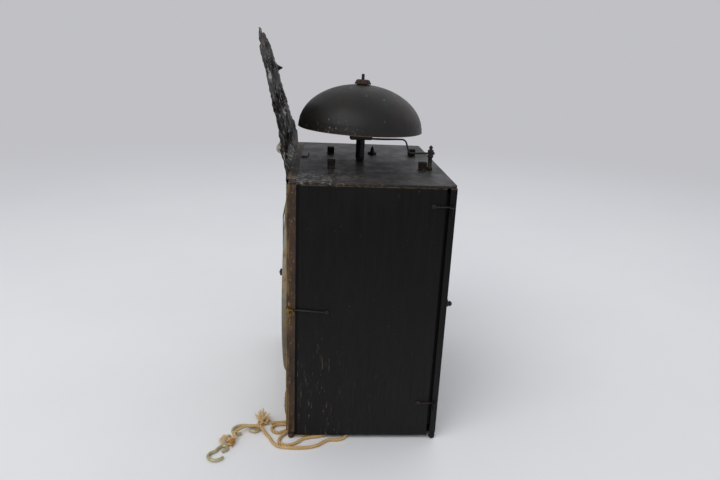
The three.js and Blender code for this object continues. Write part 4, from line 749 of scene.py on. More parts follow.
def door_iron():
    """Black sheet with an upright grain, a worn brown top edge, pale specks low at the front, painted light
    towards the bottom and painted shade in the front rebate.
    """
    s = Surface("door_iron", rgb(7, 7, 7), 0.62, 0.0, 0.16)
    # Painted light: the sheet is lighter towards the bottom, near the pale table
    s.tint(s.ramp(s.axis("Z"), 0.24, 0.02), rgb(30, 29, 30), 0.95)
    s.stain(0.42, 0.68, (21, 20, 20), 0.6, 60, 6, 0.7, stretch=(1, 6, 0.3))
    s.stain(0.5, 0.72, (7, 7, 7), 0.8, 420, 4, 0.7, stretch=(1, 3, 0.1))
    s.stain(0.5, 0.7, (26, 23, 20), 0.5, 9, 4)
    low_front = s.times(s.ramp(s.axis("Z"), 0.14, 0.05), s.ramp(s.axis("Y"), 0.008, -0.026))
    streaks = s.ramp(s.noise(380, 4, 0.75, stretch=(1, 1.5, 0.2)), 0.56, 0.68)
    broken = s.ramp(s.noise(800, 3, 0.7, shift=(0, 0.4, 0)), 0.36, 0.54)
    patches = s.ramp(s.noise(60, 3, 0.6, stretch=(1, 1.8, 0.4), shift=(0, 0.15, 0)), 0.46, 0.6)
    s.tint(s.times(streaks, broken, patches, low_front), rgb(150, 132, 108), 0.8)
    s.stain(0.7, 0.76, (94, 84, 72), 0.6, 420, 3, 0.6, stretch=(1, 1.4, 0.2), shift=(0.4, 0, 0))
    s.stain(0.75, 0.79, (120, 112, 104), 0.7, 900, 2, 0.5)
    # Painted shade: a near-black band over the front rebate, where the gap behind the pillar lies in shadow
    s.tint(s.ramp(s.axis("Y"), -0.0520, -0.0524), rgb(6, 5, 4), 0.9)
    top = s.ramp(s.axis("Z"), 0.2718, 0.2728)
    s.stain(0.36, 0.55, (104, 80, 58), 0.9, 150, 4, stretch=(1, 1, 0.2), within=top)
    s.polish(s.ramp(s.noise(70, 5, stretch=(1, 3, 0.4)), 0.4, 0.7), 0.5, 0.7)
    s.relief(s.noise(380, 5, 0.7, stretch=(1, 3, 0.12)), 0.5)
    s.relief(s.noise(60, 4, 0.6, stretch=(1, 3, 0.5)), 1.0)
    return s.done(0.0006, 0.5)


def plate_iron():
    """Dark grey plate, stained and rubbed, with pale glints towards the front right."""
    s = Surface("plate_iron", rgb(24, 22, 22), 0.55, 0.0, 0.32)
    s.stain(0.42, 0.62, (42, 39, 38), 0.85, 26, 6, 0.7)
    s.stain(0.5, 0.6, (12, 11, 11), 0.85, 60, 5, 0.75, shift=(0.2, 0, 0))
    s.stain(0.54, 0.66, (46, 34, 27), 0.7, 14, 4, shift=(0.5, 0.2, 0))
    s.stain(0.58, 0.66, (92, 87, 82), 0.5, 420, 4, 0.7)
    s.stain(0.57, 0.64, (72, 68, 66), 0.7, 180, 4, 0.7, shift=(0, 0.3, 0))
    glint = s.times(s.ramp(s.axis("X"), 0.03, 0.1), s.ramp(s.axis("Y"), 0.02, -0.04))
    s.stain(0.52, 0.6, (136, 132, 128), 0.8, 230, 5, 0.75, shift=(0.6, 0, 0), within=glint)
    s.polish(s.ramp(s.noise(40, 4), 0.4, 0.65), 0.36, 0.8)
    s.relief(s.noise(300, 5, 0.7), 0.6)
    s.relief(s.noise(25, 3), 1.0)
    return s.done(0.0006, 0.7)


def rusty_iron(name, base=(34, 30, 28), rust=(50, 40, 33)):
    s = Surface(name, rgb(*base), 0.75, 0.0, 0.3)
    s.stain(0.4, 0.62, rust, 0.75, 240, 5, 0.7)
    s.stain(0.48, 0.64, (27, 24, 23), 0.85, 120, 4, shift=(0.3, 0, 0))
    s.stain(0.62, 0.72, (122, 100, 80), 0.6, 900, 3)
    s.relief(s.noise(700, 5, 0.75), 1.0)
    return s.done(0.0005, 0.8)


def forged_iron(name, base=(26, 24, 23)):
    s = Surface(name, rgb(*base), 0.58, 0.0, 0.35)
    s.stain(0.42, 0.65, (44, 39, 36), 0.65, 90, 5, 0.7)
    s.stain(0.55, 0.7, (62, 46, 36), 0.5, 300, 4)
    s.stain(0.68, 0.75, (120, 108, 96), 0.5, 800, 3, shift=(0.1, 0.5, 0))
    s.relief(s.noise(600, 5, 0.7), 1.0)
    return s.done(0.0003, 0.6)


def through_plate():
    """Bars: bright steel inside the cage, dark and rusty where their heads stand above the plate."""
    s = Surface("bar_steel", rgb(108, 104, 99), 0.45, 0.6, 0.5)
    s.stain(0.42, 0.66, (66, 57, 50), 0.8, 80, 5, 0.7)
    s.stain(0.58, 0.7, (92, 60, 42), 0.6, 400, 4)
    above = s.ramp(s.axis("Z"), 0.2735, 0.2745)
    s.tint(above, rgb(25, 22, 21), 0.97)
    s.stain(0.48, 0.62, (56, 41, 33), 0.75, 420, 4, within=above)
    base = s.times(above, s.ramp(s.axis("Z"), 0.2775, 0.2758))
    s.stain(0.46, 0.62, (128, 98, 70), 0.75, 520, 4, shift=(0.3, 0.3, 0), within=base)
    s.polish(above, 0.85)
    s.relief(s.noise(500, 4), 1.0)
    return s.done(0.0003, 0.6)


def bell_bronze():
    """Dark patina, olive towards the top, with pale scuffs, tan spots near the rim and a thin bare edge."""
    s = Surface("bell_bronze", rgb(30, 29, 30), 0.5, 0.15, 0.34)
    s.stain(0.4, 0.66, (40, 38, 36), 0.75, 26, 6, 0.65)
    s.tint(s.ramp(s.axis("Z"), 0.318, 0.352), rgb(30, 26, 19), 0.85)
    s.stain(0.5, 0.7, (27, 25, 25), 0.75, 60, 5, 0.7, shift=(0.4, 0, 0.1))
    s.stain(0.5, 0.66, (54, 42, 27), 0.6, 11, 3, shift=(0.1, 0.4, 0))
    near_rim = s.ramp(s.axis("Z"), 0.324, 0.313)
    spots = s.times(near_rim, s.ramp(s.axis("Y"), 0.02, -0.02))
    s.stain(0.62, 0.68, (150, 128, 94), 0.8, 340, 3, 0.55, shift=(0, 0.2, 0), within=spots)
    scuffs = s.ramp(s.noise(230, 3, 0.5, stretch=(1, 1, 0.35), shift=(0.3, 0.75, 0)), 0.7, 0.75)
    s.tint(scuffs, rgb(128, 130, 132), 0.5)
    s.stain(0.68, 0.75, (92, 88, 76), 0.7, 800, 3, 0.6)
    bare = s.math("LESS_THAN", s.value("height"), 0.6)
    s.tint(bare, rgb(104, 78, 54), 0.8)
    s.polish(s.ramp(s.noise(50, 4), 0.4, 0.65), 0.4, 0.7)
    s.relief(s.noise(120, 5, 0.6), 1.0)
    s.relief(s.noise(600, 4, 0.7), 0.3)
    return s.done(0.0005, 0.5)


def aged_steel():
    s = Surface("steel_aged", rgb(122, 118, 112), 0.42, 0.85, 0.5)
    s.stain(0.45, 0.68, (70, 60, 52), 0.7, 80, 5, 0.7)
    s.stain(0.6, 0.7, (96, 60, 40), 0.5, 400, 4)
    s.relief(s.noise(500, 4, stretch=(1, 1, 0.2)), 1.0)
    return s.done(0.0002, 0.5)


def aged_brass(name="brass_aged", base=(150, 122, 70)):
    s = Surface(name, rgb(*base), 0.4, 0.85, 0.5)
    s.stain(0.42, 0.66, (104, 78, 42), 0.75, 70, 5, 0.7)
    s.stain(0.58, 0.72, (66, 50, 32), 0.6, 240, 4, shift=(0.2, 0, 0))
    s.polish(s.ramp(s.noise(60, 4), 0.4, 0.65), 0.58, 0.8)
    s.relief(s.noise(420, 4), 1.0)
    return s.done(0.0002, 0.4)


def crest_sheet():
    """Embossed sheet, nearly black, with painted highlights in silver and tan streaks and a pale lacy bulge
    low down.
    """
    s = Surface("crest_sheet", rgb(12, 10, 9), 0.55, 0.0, 0.22)
    s.stain(0.46, 0.62, (32, 25, 20), 0.8, 40, 5, 0.7, stretch=(1, 1, 0.7))
    high = s.ramp(s.value("raised"), 0.66, 0.95)
    s.stain(0.48, 0.6, (116, 106, 90), 0.75, 130, 5, 0.75, stretch=(1, 1, 0.5), within=high)
    # Painted highlights: upright silver and tan streaks, standing in for light caught by the relief
    s.stain(0.575, 0.61, (186, 185, 180), 0.9, 85, 5, 0.8, stretch=(1, 1, 0.5), shift=(0, 0.6, 0))
    s.stain(0.59, 0.63, (144, 114, 78), 0.8, 90, 5, 0.75, stretch=(1, 1, 0.5), shift=(0.3, 0, 0))
    s.stain(0.52, 0.6, (7, 6, 6), 0.85, 260, 4, 0.7, shift=(0.7, 0, 0.2))
    low = s.times(s.value("front"), s.ramp(s.axis("Z"), 0.306, 0.298), s.ramp(s.axis("Y"), -0.0735, -0.0765))
    s.tint(s.times(low, s.ramp(s.cells(330, warp=0.002), 0.34, 0.5)), rgb(158, 156, 147), 0.85)
    s.polish(high, 0.42, 0.7)
    s.relief(s.noise(300, 5, 0.7), 1.0)
    return s.done(0.0005, 0.7)


def front_brass(name, base=(56, 42, 30), fleck=(158, 122, 66), worn=0.6, pale_from=None):
    """Old brass sheet, stained brown, with gold left in flecks. pale_from is where its pale ends begin."""
    s = Surface(name, rgb(*base), 0.6, 0.15, 0.4)
    if pale_from:
        away = s.math("ABSOLUTE", s.axis("X"))
        s.tint(s.ramp(away, pale_from, pale_from - 0.03), rgb(26, 23, 21), 0.97)
    s.stain(0.42, 0.64, (30, 25, 22), 0.8, 45, 6, 0.7)
    s.stain(0.48, 0.66, (86, 58, 34), 0.6, 30, 4, 0.6, shift=(0.2, 0.1, 0))
    s.stain(0.58, 0.65, fleck, worn, 190, 5, 0.8, stretch=(1, 1, 0.4), shift=(0.3, 0, 0))
    s.stain(0.64, 0.7, (170, 150, 110), worn, 420, 4, 0.7, shift=(0, 0.6, 0))
    in_front = s.ramp(s.axis("Y"), -0.0602, -0.0612)
    s.stain(0.42, 0.58, fleck, 0.5 * worn, 45, 4, 0.6, shift=(0, 0.7, 0), within=in_front)
    pale = s.times(s.value("bezel"), s.ramp(s.noise(70, 5, 0.7, shift=(0.5, 0, 0)), 0.66, 0.5))
    s.tint(pale, rgb(146, 143, 128), 0.85)
    s.tint(s.times(pale, s.ramp(s.axis("Z"), 0.178, 0.122)), rgb(90, 82, 70), 0.85)
    s.relief(s.noise(300, 5, 0.7), 1.0)
    return s.done(0.0004, 0.6)


def white_enamel():
    s = Surface("enamel", rgb(226, 223, 208), 0.16, 0.0, 0.6)
    s.stain(0.5, 0.72, (212, 204, 184), 0.7, 18, 5, 0.6)
    s.tint(s.ramp(s.cells(22, "DISTANCE_TO_EDGE", warp=0.02), 0.007, 0.0), rgb(120, 104, 82), 0.22)
    s.relief(s.noise(60, 3), 1.0)
    return s.done(0.0001, 0.3)


def hook_metal():
    """Brassed wire, dull and greener where it is worn, with bright patches of painted highlight."""
    s = Surface("hook_wire", rgb(188, 176, 134), 0.3, 0.45, 0.5)
    s.stain(0.5, 0.68, (124, 118, 82), 0.7, 160, 5, 0.7)
    # Painted highlights: bright patches on the wire
    s.stain(0.58, 0.7, (206, 200, 158), 0.7, 320, 4, shift=(0.3, 0, 0))
    s.stain(0.66, 0.74, (70, 62, 44), 0.6, 500, 4, shift=(0, 0.3, 0))
    s.relief(s.noise(900, 4), 0.5)
    return s.done(0.0001, 0.4)


door_black = door_iron()
plate_grey = plate_iron()
rust = rusty_iron("rusty_iron")
nut_rust = rusty_iron("nut_rust", (60, 42, 33), (76, 52, 38))
forged = forged_iron("forged_iron")
bar_steel = through_plate()
bronze = bell_bronze()
steel = aged_steel()
brass = aged_brass()
crest_dark = crest_sheet()
strip_brass = front_brass("strip_brass", (66, 48, 33), (170, 132, 70), 0.85)
surround_brass = front_brass("surround_brass", (96, 76, 48), (168, 136, 78), 0.8)
flange_brass = front_brass("flange_brass", (140, 120, 94), (176, 156, 120), 0.6, 0.112)
enamel = white_enamel()
dark_enamel = forged_iron("dial_rear", (30, 30, 33))
numeral_ink = plain("numeral_ink", rgb(28, 27, 30), 0.35)
hook_wire = hook_metal()
fine_brass = aged_brass("fine_brass", (176, 146, 74))


# The ropes with their windings, knots and hooks

crown, loops = crown_tuft(random.Random(3)), looped_tuft(random.Random(5))
strike_knot = tied("strike_knot_tied", STRIKE_KNOT, "strike_knot", STRIKE_ROUTE[-1], crown)
going_knot = tied("going_knot_tied", GOING_KNOT, "going_knot", GOING_ROUTE[-1], loops)
strike_hook = s_hook("strike_hook_bent", STRIKE_HOOK, "strike_s_hook")
going_hook = s_hook("going_hook_bent", GOING_HOOK, "going_s_hook")
rope("strike_weight_rope", rope_route(1, -8, STRIKE_ROUTE), "strike_rope")
rope("going_weight_rope", rope_route(-1, 0, GOING_ROUTE), "going_rope")
winding("going_turns", -1, 2.6, "going_great", "going_winding")
winding("strike_turns", 1, -5.4, "strike_great", "strike_winding")


# Bell on its stand

APEX = TOP_FACE + BELL_RIM + BELL_H
BELL_TILT = radians(-1.5)


def on_rod(obj):
    """Leans a piece on the bell's rod a little about the bell's hole."""
    obj.data.transform(turned_about(at(BELL_X, BELL_Y, APEX), Matrix.Rotation(BELL_TILT, 4, "X")))


def make_bell():
    hole, steps = 2.3, 44
    outer, inner = [], []
    for k in range(steps + 1):
        angle = pi / 2 * k / steps
        lip = 0.35 * exp(-((angle / 0.045) ** 2))
        line = -0.22 * exp(-(((angle - 0.14) / 0.012) ** 2)) - 0.18 * exp(-(((angle - 1.2) / 0.012) ** 2))
        outer.append((max(hole, (BELL_R + lip + line) * cos(angle)), BELL_H * sin(angle)))
        inner.append((max(hole, (BELL_R - BELL_WALL) * cos(angle)), (BELL_H - BELL_CROWN) * sin(angle)))
    inner[0] = (BELL_R - BELL_WALL + 0.5, 0.0)
    profile = outer + inner[::-1]

    def dents(angle, r, h):
        place = Vector((cos(angle) * r, sin(angle) * r, h)) * 0.05
        return 0.35 * noise.noise(place) * min(1, r / 20)

    made = lathe("bell_cast", profile, 144, (BELL_X, BELL_Y, TOP_FACE + BELL_RIM), "Z", bronze, dents, 40)
    carries(made, "height", [v.co.z / MM - TOP_FACE - BELL_RIM for v in made.data.vertices])
    on_rod(made)
    stands_for(made, "cage", "bell")


def make_bell_nut():
    low, top, r = 0.0, 4.7, 8.8
    profile = [(2.3, low), (r - 0.3, low), (r, low + 0.4), (r - 0.1, 1.6), (r - 0.7, 1.8), (r - 0.9, 2.1),
               (r - 1.3, top - 1.2), (r - 2.0, top - 0.4), (r - 3.0, top), (2.3, top)]
    made = lathe("bell_nut_turned", profile, 48, (BELL_X, BELL_Y, APEX + GAP), "Z", nut_rust,
                 lambda a, r, h: 0.16 * sin(6 * a) + 0.12 * noise.noise(Vector((a * 3, h, r))))
    on_rod(made)
    stands_for(made, "cage", "bell_nut")


def make_bell_stand():
    """Foot plate, a square post forged to a taper, and a threaded rod through the bell."""
    neck_top = APEX - BELL_CROWN - GAP
    foot_low = TOP_FACE + GAP
    plate = box_piece("foot_plate", (BELL_X - 4.4, BELL_Y - 4.4, foot_low),
                      (BELL_X + 4.4, BELL_Y + 4.4, foot_low + 1.2), forged, 0.3, 0.1)

    def square(angle, share):
        reach = max(abs(cos(angle)), abs(sin(angle)))
        return min(1 / reach, 1.3) * (1 + 0.02 * sin(31 * share + 2 * angle))

    line = [at(BELL_X, BELL_Y, foot_low + 1.0 + (neck_top - foot_low - 1.0) * k / 40) for k in range(41)]
    post = tube("post", line, lambda s: (3.85 - 0.65 * s) * MM * (1 - 0.25 * max(0.0, s - 0.9) / 0.1), 32,
                forged, square)
    rod_foot, rod_top = neck_top - 1, TOP_FACE + 91.7
    rod_line = [at(BELL_X, BELL_Y, rod_foot + (rod_top - rod_foot) * k / 120) for k in range(121)]
    rod = tube("rod", rod_line, 1.75 * MM, 14, forged,
               lambda a, s: 1.0 - 0.09 * abs(sin(a / 2 + 60 * s)) if s > 0.3 else 1.0)
    tenon_place = (BELL_X, BELL_Y, TOP_UNDER - 1)
    tenon = lathe("tenon", [(0, 0), (2.3, 0), (2.6, 0.4), (2.6, 4), (0, 4)], 24, tenon_place, "Z", forged)
    stands_for(joined("bell_post", [plate, post, rod, tenon]), "cage", "bell_stand")


def make_stud():
    x, y = -43, 10.5
    low = TOP_FACE + GAP
    nut = [(0, 0), (4.7, 0), (5.0, 0.3), (5.0, 1.5), (4.6, 2.3), (3.0, 2.5), (2.4, 3.3), (2.1, 5.2),
           (1.7, 6.8), (1.0, 8.4), (0.3, 9.4), (0, 9.5)]
    head = lathe("stud_head", nut, 36, (x, y, low), "Z", forged,
                 lambda a, r, h: 0.3 * cos(4 * a) if h < 2.4 else 0.1 * sin(3 * a + h))
    pin = [(0, 0), (1.4, 0), (1.6, 0.3), (1.6, 3.3), (0, 3.3)]
    shank = lathe("stud_shank", pin, 20, (x, y, TOP_UNDER - 1), "Z", forged)
    stands_for(joined("stud_forged", [head, shank]), "cage", "pointed_stud")


def make_crest_wire():
    places = [(0, -0.4), (0, 0), (0.12, 0.24), (0.5, 0.17), (0.85, 0.3), (1, 1)]
    points = [(-6, -70.4 + back * 7.6, TOP_FACE + rise * 5.4) for back, rise in places]
    made = wire("crest_wire_bent", points, lambda s: 0.9 - 0.35 * s * s, 12, forged, 0.4)
    stands_for(made, "cage", "crest_wire")


# Hammer

def head_place():
    """How far the arm reaches and its direction, so that the head's corner lies just inside the bell."""
    strikes_at, gap_to_bell = radians(-12.8), 0.95
    above_rim = HEAD_HIGH - BELL_RIM
    inside = (BELL_R - BELL_WALL) * sqrt(1 - (above_rim / (BELL_H - BELL_CROWN)) ** 2) - gap_to_bell
    corner_x = BELL_X + inside * cos(strikes_at) - HAMMER_X
    corner_y = BELL_Y + inside * sin(strikes_at) - HAMMER_Y
    away = hypot(corner_x, corner_y)
    reach = sqrt(away**2 - HEAD_HALF**2) - HEAD_LENGTH - GAP
    return reach, atan2(corner_x, -corner_y) - asin(HEAD_HALF / away)


HEAD_REACH, HEAD_ANGLE = head_place()


def on_arm(reach, height):
    """A place on the hammer's arm, in the cage's own drawing."""
    return (HAMMER_X + reach * sin(HEAD_ANGLE), HAMMER_Y - reach * cos(HEAD_ANGLE), TOP_FACE + height)


def make_hammer_arbor():
    tail_low, r = -34, 2.15
    low = tail_low - 2
    shaft = [(0, low), (1.9, low), (r, low + 0.3), (r, 0.3), (2.9, 0.3), (2.9, 2.5), (2.6, 2.9), (r, 3.0),
             (r, 12.6), (2.5, 12.9), (3.1, 13.3), (3.15, 14.4), (2.95, 14.8), (2.95, 18.8), (3.15, 19.2),
             (3.1, 20.2), (2.6, 20.8), (1.6, 21.2), (1.25, 21.7), (1.9, 22.5), (2.1, 23.2), (1.8, 24.0),
             (0.9, 24.9), (0.2, 25.5), (0, 25.5)]
    turned = lathe("arbor", shaft, 32, (HAMMER_X, HAMMER_Y, TOP_FACE), "Z", rust,
                   lambda a, r, h: 0.09 * noise.noise(Vector((cos(a) * r, sin(a) * r, h * 0.7))))
    tail_z = TOP_UNDER + tail_low
    tail = box_piece("arbor_tail", (HAMMER_X, HAMMER_Y - 2.5, tail_z),
                     (HAMMER_X + 18, HAMMER_Y + 2.5, tail_z + 2.4), forged, 0.4, 0.1)
    screw = tube("set_screw", [at(*on_arm(-2.6 - k * 0.3, 17.2)) for k in range(5)], 1.5 * MM, 16, rust)
    stands_for(joined("hammer_arbor_turned", [turned, tail, screw]), "hammer", "hammer_arbor")


def make_hammer_arm():
    stops = [(-4.15, 17.2), (5.2, 17.2), (14, 17.0), (21.2, 17.2), (23.2, 18.0), (24.6, 22), (26.4, 27.5),
             (28, 29.7), (30.4, 30.8), (36, 31), (50, 30.8), (HEAD_REACH + 1, 31)]
    made = wire("hammer_arm_bent", [on_arm(*stop) for stop in stops], lambda s: 0.95 + 0.1 * sin(9 * s), 14,
                forged, 0.6)
    stands_for(made, "hammer", "hammer_arm")


def make_hammer_head():
    low = (HAMMER_X - HEAD_HALF, HAMMER_Y - HEAD_REACH - GAP - HEAD_LENGTH, TOP_FACE + HEAD_LOW)
    high = (HAMMER_X + HEAD_HALF, HAMMER_Y - HEAD_REACH - GAP, TOP_FACE + HEAD_HIGH)
    made = box_piece("hammer_head_forged", low, high, forged, 1.4, 0.25)
    made.data.transform(turned_about(at(HAMMER_X, HAMMER_Y, 0), Matrix.Rotation(HEAD_ANGLE, 4, "Z")))
    stands_for(made, "hammer", "hammer_head")


# Crest: fine embossed sheet over the CAD model's main form

# Share of the crest's height, and its half width there as a share of the surround's
CREST_OUTLINE = [(0, 1), (0.15, 1), (0.2, 0.966), (0.277, 0.78), (0.337, 0.746), (0.39, 0.695),
                 (0.45, 0.695), (0.516, 0.644), (0.636, 0.644), (0.689, 0.576), (0.749, 0.525),
                 (0.793, 0.508), (0.876, 0.475), (0.913, 0.34), (0.958, 0.3), (1, 0.23)]
# Each bulge's place across and up, its reach across and up, and its depth, all as shares
CREST_BULGES = [(0, 0.06, 0.3, 0.1, 0.13), (0, 0.42, 0.2, 0.16, 0.05), (0, 0.72, 0.16, 0.1, 0.035),
                (-0.98, 0.7, 0.06, 0.022, -0.05), (0.62, 0.1, 0.16, 0.08, 0.025),
                (-0.62, 0.1, 0.16, 0.08, 0.025)]
# Each scroll's place beside the middle and up, its reach and its turns
SCROLLS = [(58, 22, 22, 3), (34, 62, 18, 3), (74, 62, 13, 2), (22, 100, 13, 2), (46, 96, 10, 2),
           (98, 26, 12, 2)]
ROSETTE_Z, ROSETTE_R = 56, 13


def crest_half_width(share):
    share = min(max(share, 0.0), 1.0)
    for (low, low_width), (high, high_width) in zip(CREST_OUTLINE, CREST_OUTLINE[1:]):
        if share <= high:
            width = low_width + (high_width - low_width) * (share - low) / (high - low)
            ripple = 1 - 0.018 * (1 - cos(11 * TAU * share))
            return SURROUND_HALF * width * ripple
    return SURROUND_HALF * CREST_OUTLINE[-1][1]


def crest_form(across, share):
    """The main relief of the CAD model, in millimetres towards the front."""
    depth = 0.0
    for x, z, x_reach, z_reach, bulge in CREST_BULGES:
        depth += bulge * CREST_H * exp(-(((across - x) / x_reach) ** 2) - ((share - z) / z_reach) ** 2)
    ray = cos(9 * atan2(share + 0.018, across))
    return depth + 0.9 * ray * sin(pi * abs(across))


def crest_detail(across, share):
    """Scrolls, a rosette, a beaded border and dents over the main relief."""
    x, z = across * crest_half_width(share), share * CREST_H
    edge = min(1.0, (1 - abs(across)) * crest_half_width(share) / 5)
    scroll = 0.0
    for side in (-1, 1):
        for centre_x, centre_z, reach, turns in SCROLLS:
            dx, dz = x - side * centre_x, z - centre_z
            away = hypot(dx, dz) / reach
            if away < 1:
                turn = atan2(dz, side * dx)
                scroll += (1 - away) ** 0.5 * 1.5 * cos(TAU * turns * away - turn)
    rose = hypot(x, z - ROSETTE_Z) / ROSETTE_R
    if rose < 1:
        scroll += 1.6 * (1 - rose) ** 0.5 * (0.6 + 0.4 * cos(8 * atan2(z - ROSETTE_Z, x)))
    bead = 0.5 * (1 - edge) * (0.5 + 0.5 * cos(TAU * z / 6.4))
    leaf = 0.7 * sin(x / 2.7 + 2.2 * sin(z / 9)) * exp(-((across / 0.5) ** 2))
    dent = 1.3 * noise.noise(Vector((x, z, 4)) * 0.09) + 0.5 * noise.noise(Vector((x, z, 9)) * 0.35)
    return scroll * edge + bead + leaf * edge + dent


def ragged(share, side):
    """How far the torn and leafy edge stands in or out of the main outline, in millimetres."""
    z = share * CREST_H
    leaf = 2.6 * abs(sin(z / 8.7 + side)) ** 0.6 - 1.8
    torn = 3.4 * noise.noise(Vector((z * 0.11, 3 * side, 0)))
    return leaf + torn + 0.9 * noise.noise(Vector((z * 0.6, side, 5)))


def make_crest():
    columns, rows, thick = 120, 132, 0.55
    heights = [-CREST_DROP * (1 - k / 10) for k in range(10)]
    heights += [CREST_H * k / rows for k in range(rows + 1)]
    foot_y = SURROUND_Y - GAP - CREST_T

    def place(row, column):
        height, across = heights[row], 2 * column / columns - 1
        share = height / CREST_H
        above = max(height - GAP - CREST_T, 0.0)
        fade = min(1.0, max(above, -height) / CREST_FADE)
        width = crest_half_width(share) + ragged(share, 1 if across > 0 else -1) * min(1.0, above / 12)
        form = crest_form(across, share)
        relief = (form if height > 0 else abs(form)) + crest_detail(across, share) * min(1.0, above / 14)
        prongs = 9.5 * exp(-(((across + 0.15) / 0.38) ** 2)) + 3.5 * max(0.0, -across)
        tip = prongs * max(0.0, share - 0.9) / 0.1
        base_y = foot_y - above * tan(CREST_LEAN) + 1.8 * fade
        y = min(base_y - relief * fade, foot_y + 0.3 - above * 0.1)
        waver = 0.5 * noise.noise(Vector((across * 9, height * 0.2, 1))) * min(1, above / 12)
        z = TOP_FACE + height - tip + waver
        return at(across * width, y, z), at(across * width, y + thick, z)

    made = sheet_of("crest_embossed", len(heights), columns + 1, place, crest_dark, angle=60)
    values = []
    for v in made.data.vertices:
        x, z = v.co.x / MM, v.co.z / MM - TOP_FACE
        share = z / CREST_H
        across = max(-1.0, min(1.0, x / crest_half_width(share)))
        values.append(0.5 + 0.22 * crest_detail(across, share) + 0.03 * crest_form(across, share))
    carries(made, "raised", values)
    carries(made, "front", [1.0 if v.normal.y < -0.1 else 0.0 for v in made.data.vertices])
    stands_for(made, "cage", "crest")
    low = TOP_FACE + GAP
    high = low + CREST_T
    flange = box_piece("crest_flange", (-112, -80.2, low), (112, -72, high), flange_brass, 0.2, 0.15)
    stands_for(flange, "cage", "crest")


# Dial, its surround and the hands

BOSS_X, BOSS_LOW_Z, BOSS_HIGH_Z, BOSS_R = 97, 30, 240.4, 17
HOLE_R = 5.4


def surround_relief(x, z):
    """Ribbed domes with leaves in the corners. x and z are from the dial's middle."""
    r = hypot(x, z)
    depth = 0.0
    for side in (-1, 1):
        for boss_z in (BOSS_LOW_Z - DIAL_Z, BOSS_HIGH_Z - DIAL_Z):
            dx, dz = x - side * BOSS_X, z - boss_z
            away = hypot(dx, dz)
            if away < BOSS_R:
                dome = 3.2 * (1 - (away / BOSS_R) ** 2) ** 0.7
                ribs = 0.5 * cos(12 * atan2(dz, dx)) * sin(pi * away / BOSS_R)
                depth = max(depth, dome + ribs)
            leaf = exp(-(((away - 24) / 5) ** 2)) * (0.5 + 0.5 * cos(7 * atan2(dz, dx)))
            depth += 1.1 * leaf * (1 if r > 122 else 0)
    edge = min(SURROUND_HALF - abs(x), SURROUND_TALL - abs(z))
    if edge < 3.6 and r > 119:
        depth = max(depth, 0.9 * sin(pi * max(edge, 0) / 3.6))
    return depth


def bezel(r, angle):
    """The rounded ring round the dial with a row of beads outside it."""
    inner, outer = 108.3, 114.3
    if inner < r < outer:
        return 5.6 * sin(pi * (r - inner) / (outer - inner)) ** 0.6
    if abs(r - 116) < 1.1:
        return 0.9 * abs(cos(48 * angle)) ** 0.7
    return 0.0


def make_surround():
    corner_angle = atan2(SURROUND_TALL, SURROUND_HALF)
    corners = [corner_angle, pi - corner_angle, pi + corner_angle, TAU - corner_angle]
    angles = [TAU * k / 576 for k in range(576)]
    for corner in corners:
        angles[min(range(len(angles)), key=lambda k: abs(angles[k] - corner))] = corner
    rings = [100, 104, 107, 108.2, 108.6, 109.2, 110.2, 111.3, 112.4, 113.4, 114.0, 114.4, 115, 115.5, 116,
             116.5, 117.1]
    steps = 34

    def place(row, column):
        angle = angles[column]
        limit = min(SURROUND_HALF / max(abs(cos(angle)), 1e-9), SURROUND_TALL / max(abs(sin(angle)), 1e-9))
        outward = (row - len(rings) + 1) / steps
        r = rings[row] if row < len(rings) else rings[-1] + (limit - rings[-1]) * outward
        x, z = r * cos(angle), r * sin(angle)
        depth = bezel(r, angle) + (surround_relief(x, z) if r > 117 else 0.0)
        rear_y = SURROUND_Y + SURROUND_T - 0.1 - max(0.0, depth - 0.5)
        return at(x, SURROUND_Y - depth, DIAL_Z + z), at(x, rear_y, DIAL_Z + z)

    made = sheet_of("surround_pressed", len(rings) + steps, len(angles), place, surround_brass, True, 50)
    ring = []
    for v in made.data.vertices:
        away = hypot(v.co.x / MM, v.co.z / MM - DIAL_Z)
        ring.append(max(0.0, min(1.0, (116.5 - away) / 2, (away - 104) / 2)))
    carries(made, "bezel", ring)
    stands_for(made, "cage", "dial_surround")


def dial_face(r):
    """The front of the dial's dome at a radius, as a place along Y."""
    return DIAL_Y - DIAL_CROWN * (1 - (r / DIAL_R) ** 2.8)


def make_dial():
    rows = 40
    outer = [(7.0 + (DIAL_R - 7.0) * k / rows) for k in range(rows + 1)]
    front = [(r, dial_face(r) + (0.35 * max(0.0, (r - DIAL_R + 1.2) / 1.2) ** 2)) for r in outer]
    back = [(r, dial_face(r) + DIAL_T) for r in outer[::-1]]
    made = lathe("dial_dome", front + back, 180, (0, 0, DIAL_Z), "Y", enamel)
    hole = [(0, -12), (HOLE_R, -12), (HOLE_R, 12), (0, 12)]
    carved(made, [lathe("hole", hole, 48, (x, DIAL_Y - 3, GREAT_Z), "Y") for x in (-TRAIN_X, TRAIN_X)])
    clean(made, angle=40)
    made.data.materials.append(dark_enamel)
    for face in made.data.polygons:
        if face.normal.y > 0.3:
            face.material_index = 1
    stands_for(made, "cage", "dial")
    ring = [(4.5, -0.5), (5.2, -0.9), (6.3, -0.7), (6.6, 0.0), (6.2, 0.6), (5.2, 1.6), (4.5, 1.2)]
    y = dial_face(hypot(TRAIN_X, DIAL_Z - GREAT_Z))
    rings = [lathe("ferrule", ring, 48, (x, y, GREAT_Z), "Y", brass) for x in (-TRAIN_X, TRAIN_X)]
    ferrules = joined("winding_ferrules", rings)
    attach(ferrules, "cage")


NUMERAL_R, NUMERAL_HALF = 86.0, 8.5
TRACK_LOW, TRACK_HIGH = 98.6, 102.4


def on_dial(r, angle, lift):
    """A point on the dial, where angle runs clockwise from twelve."""
    return at(r * sin(angle), dial_face(r) - lift, DIAL_Z + r * cos(angle))


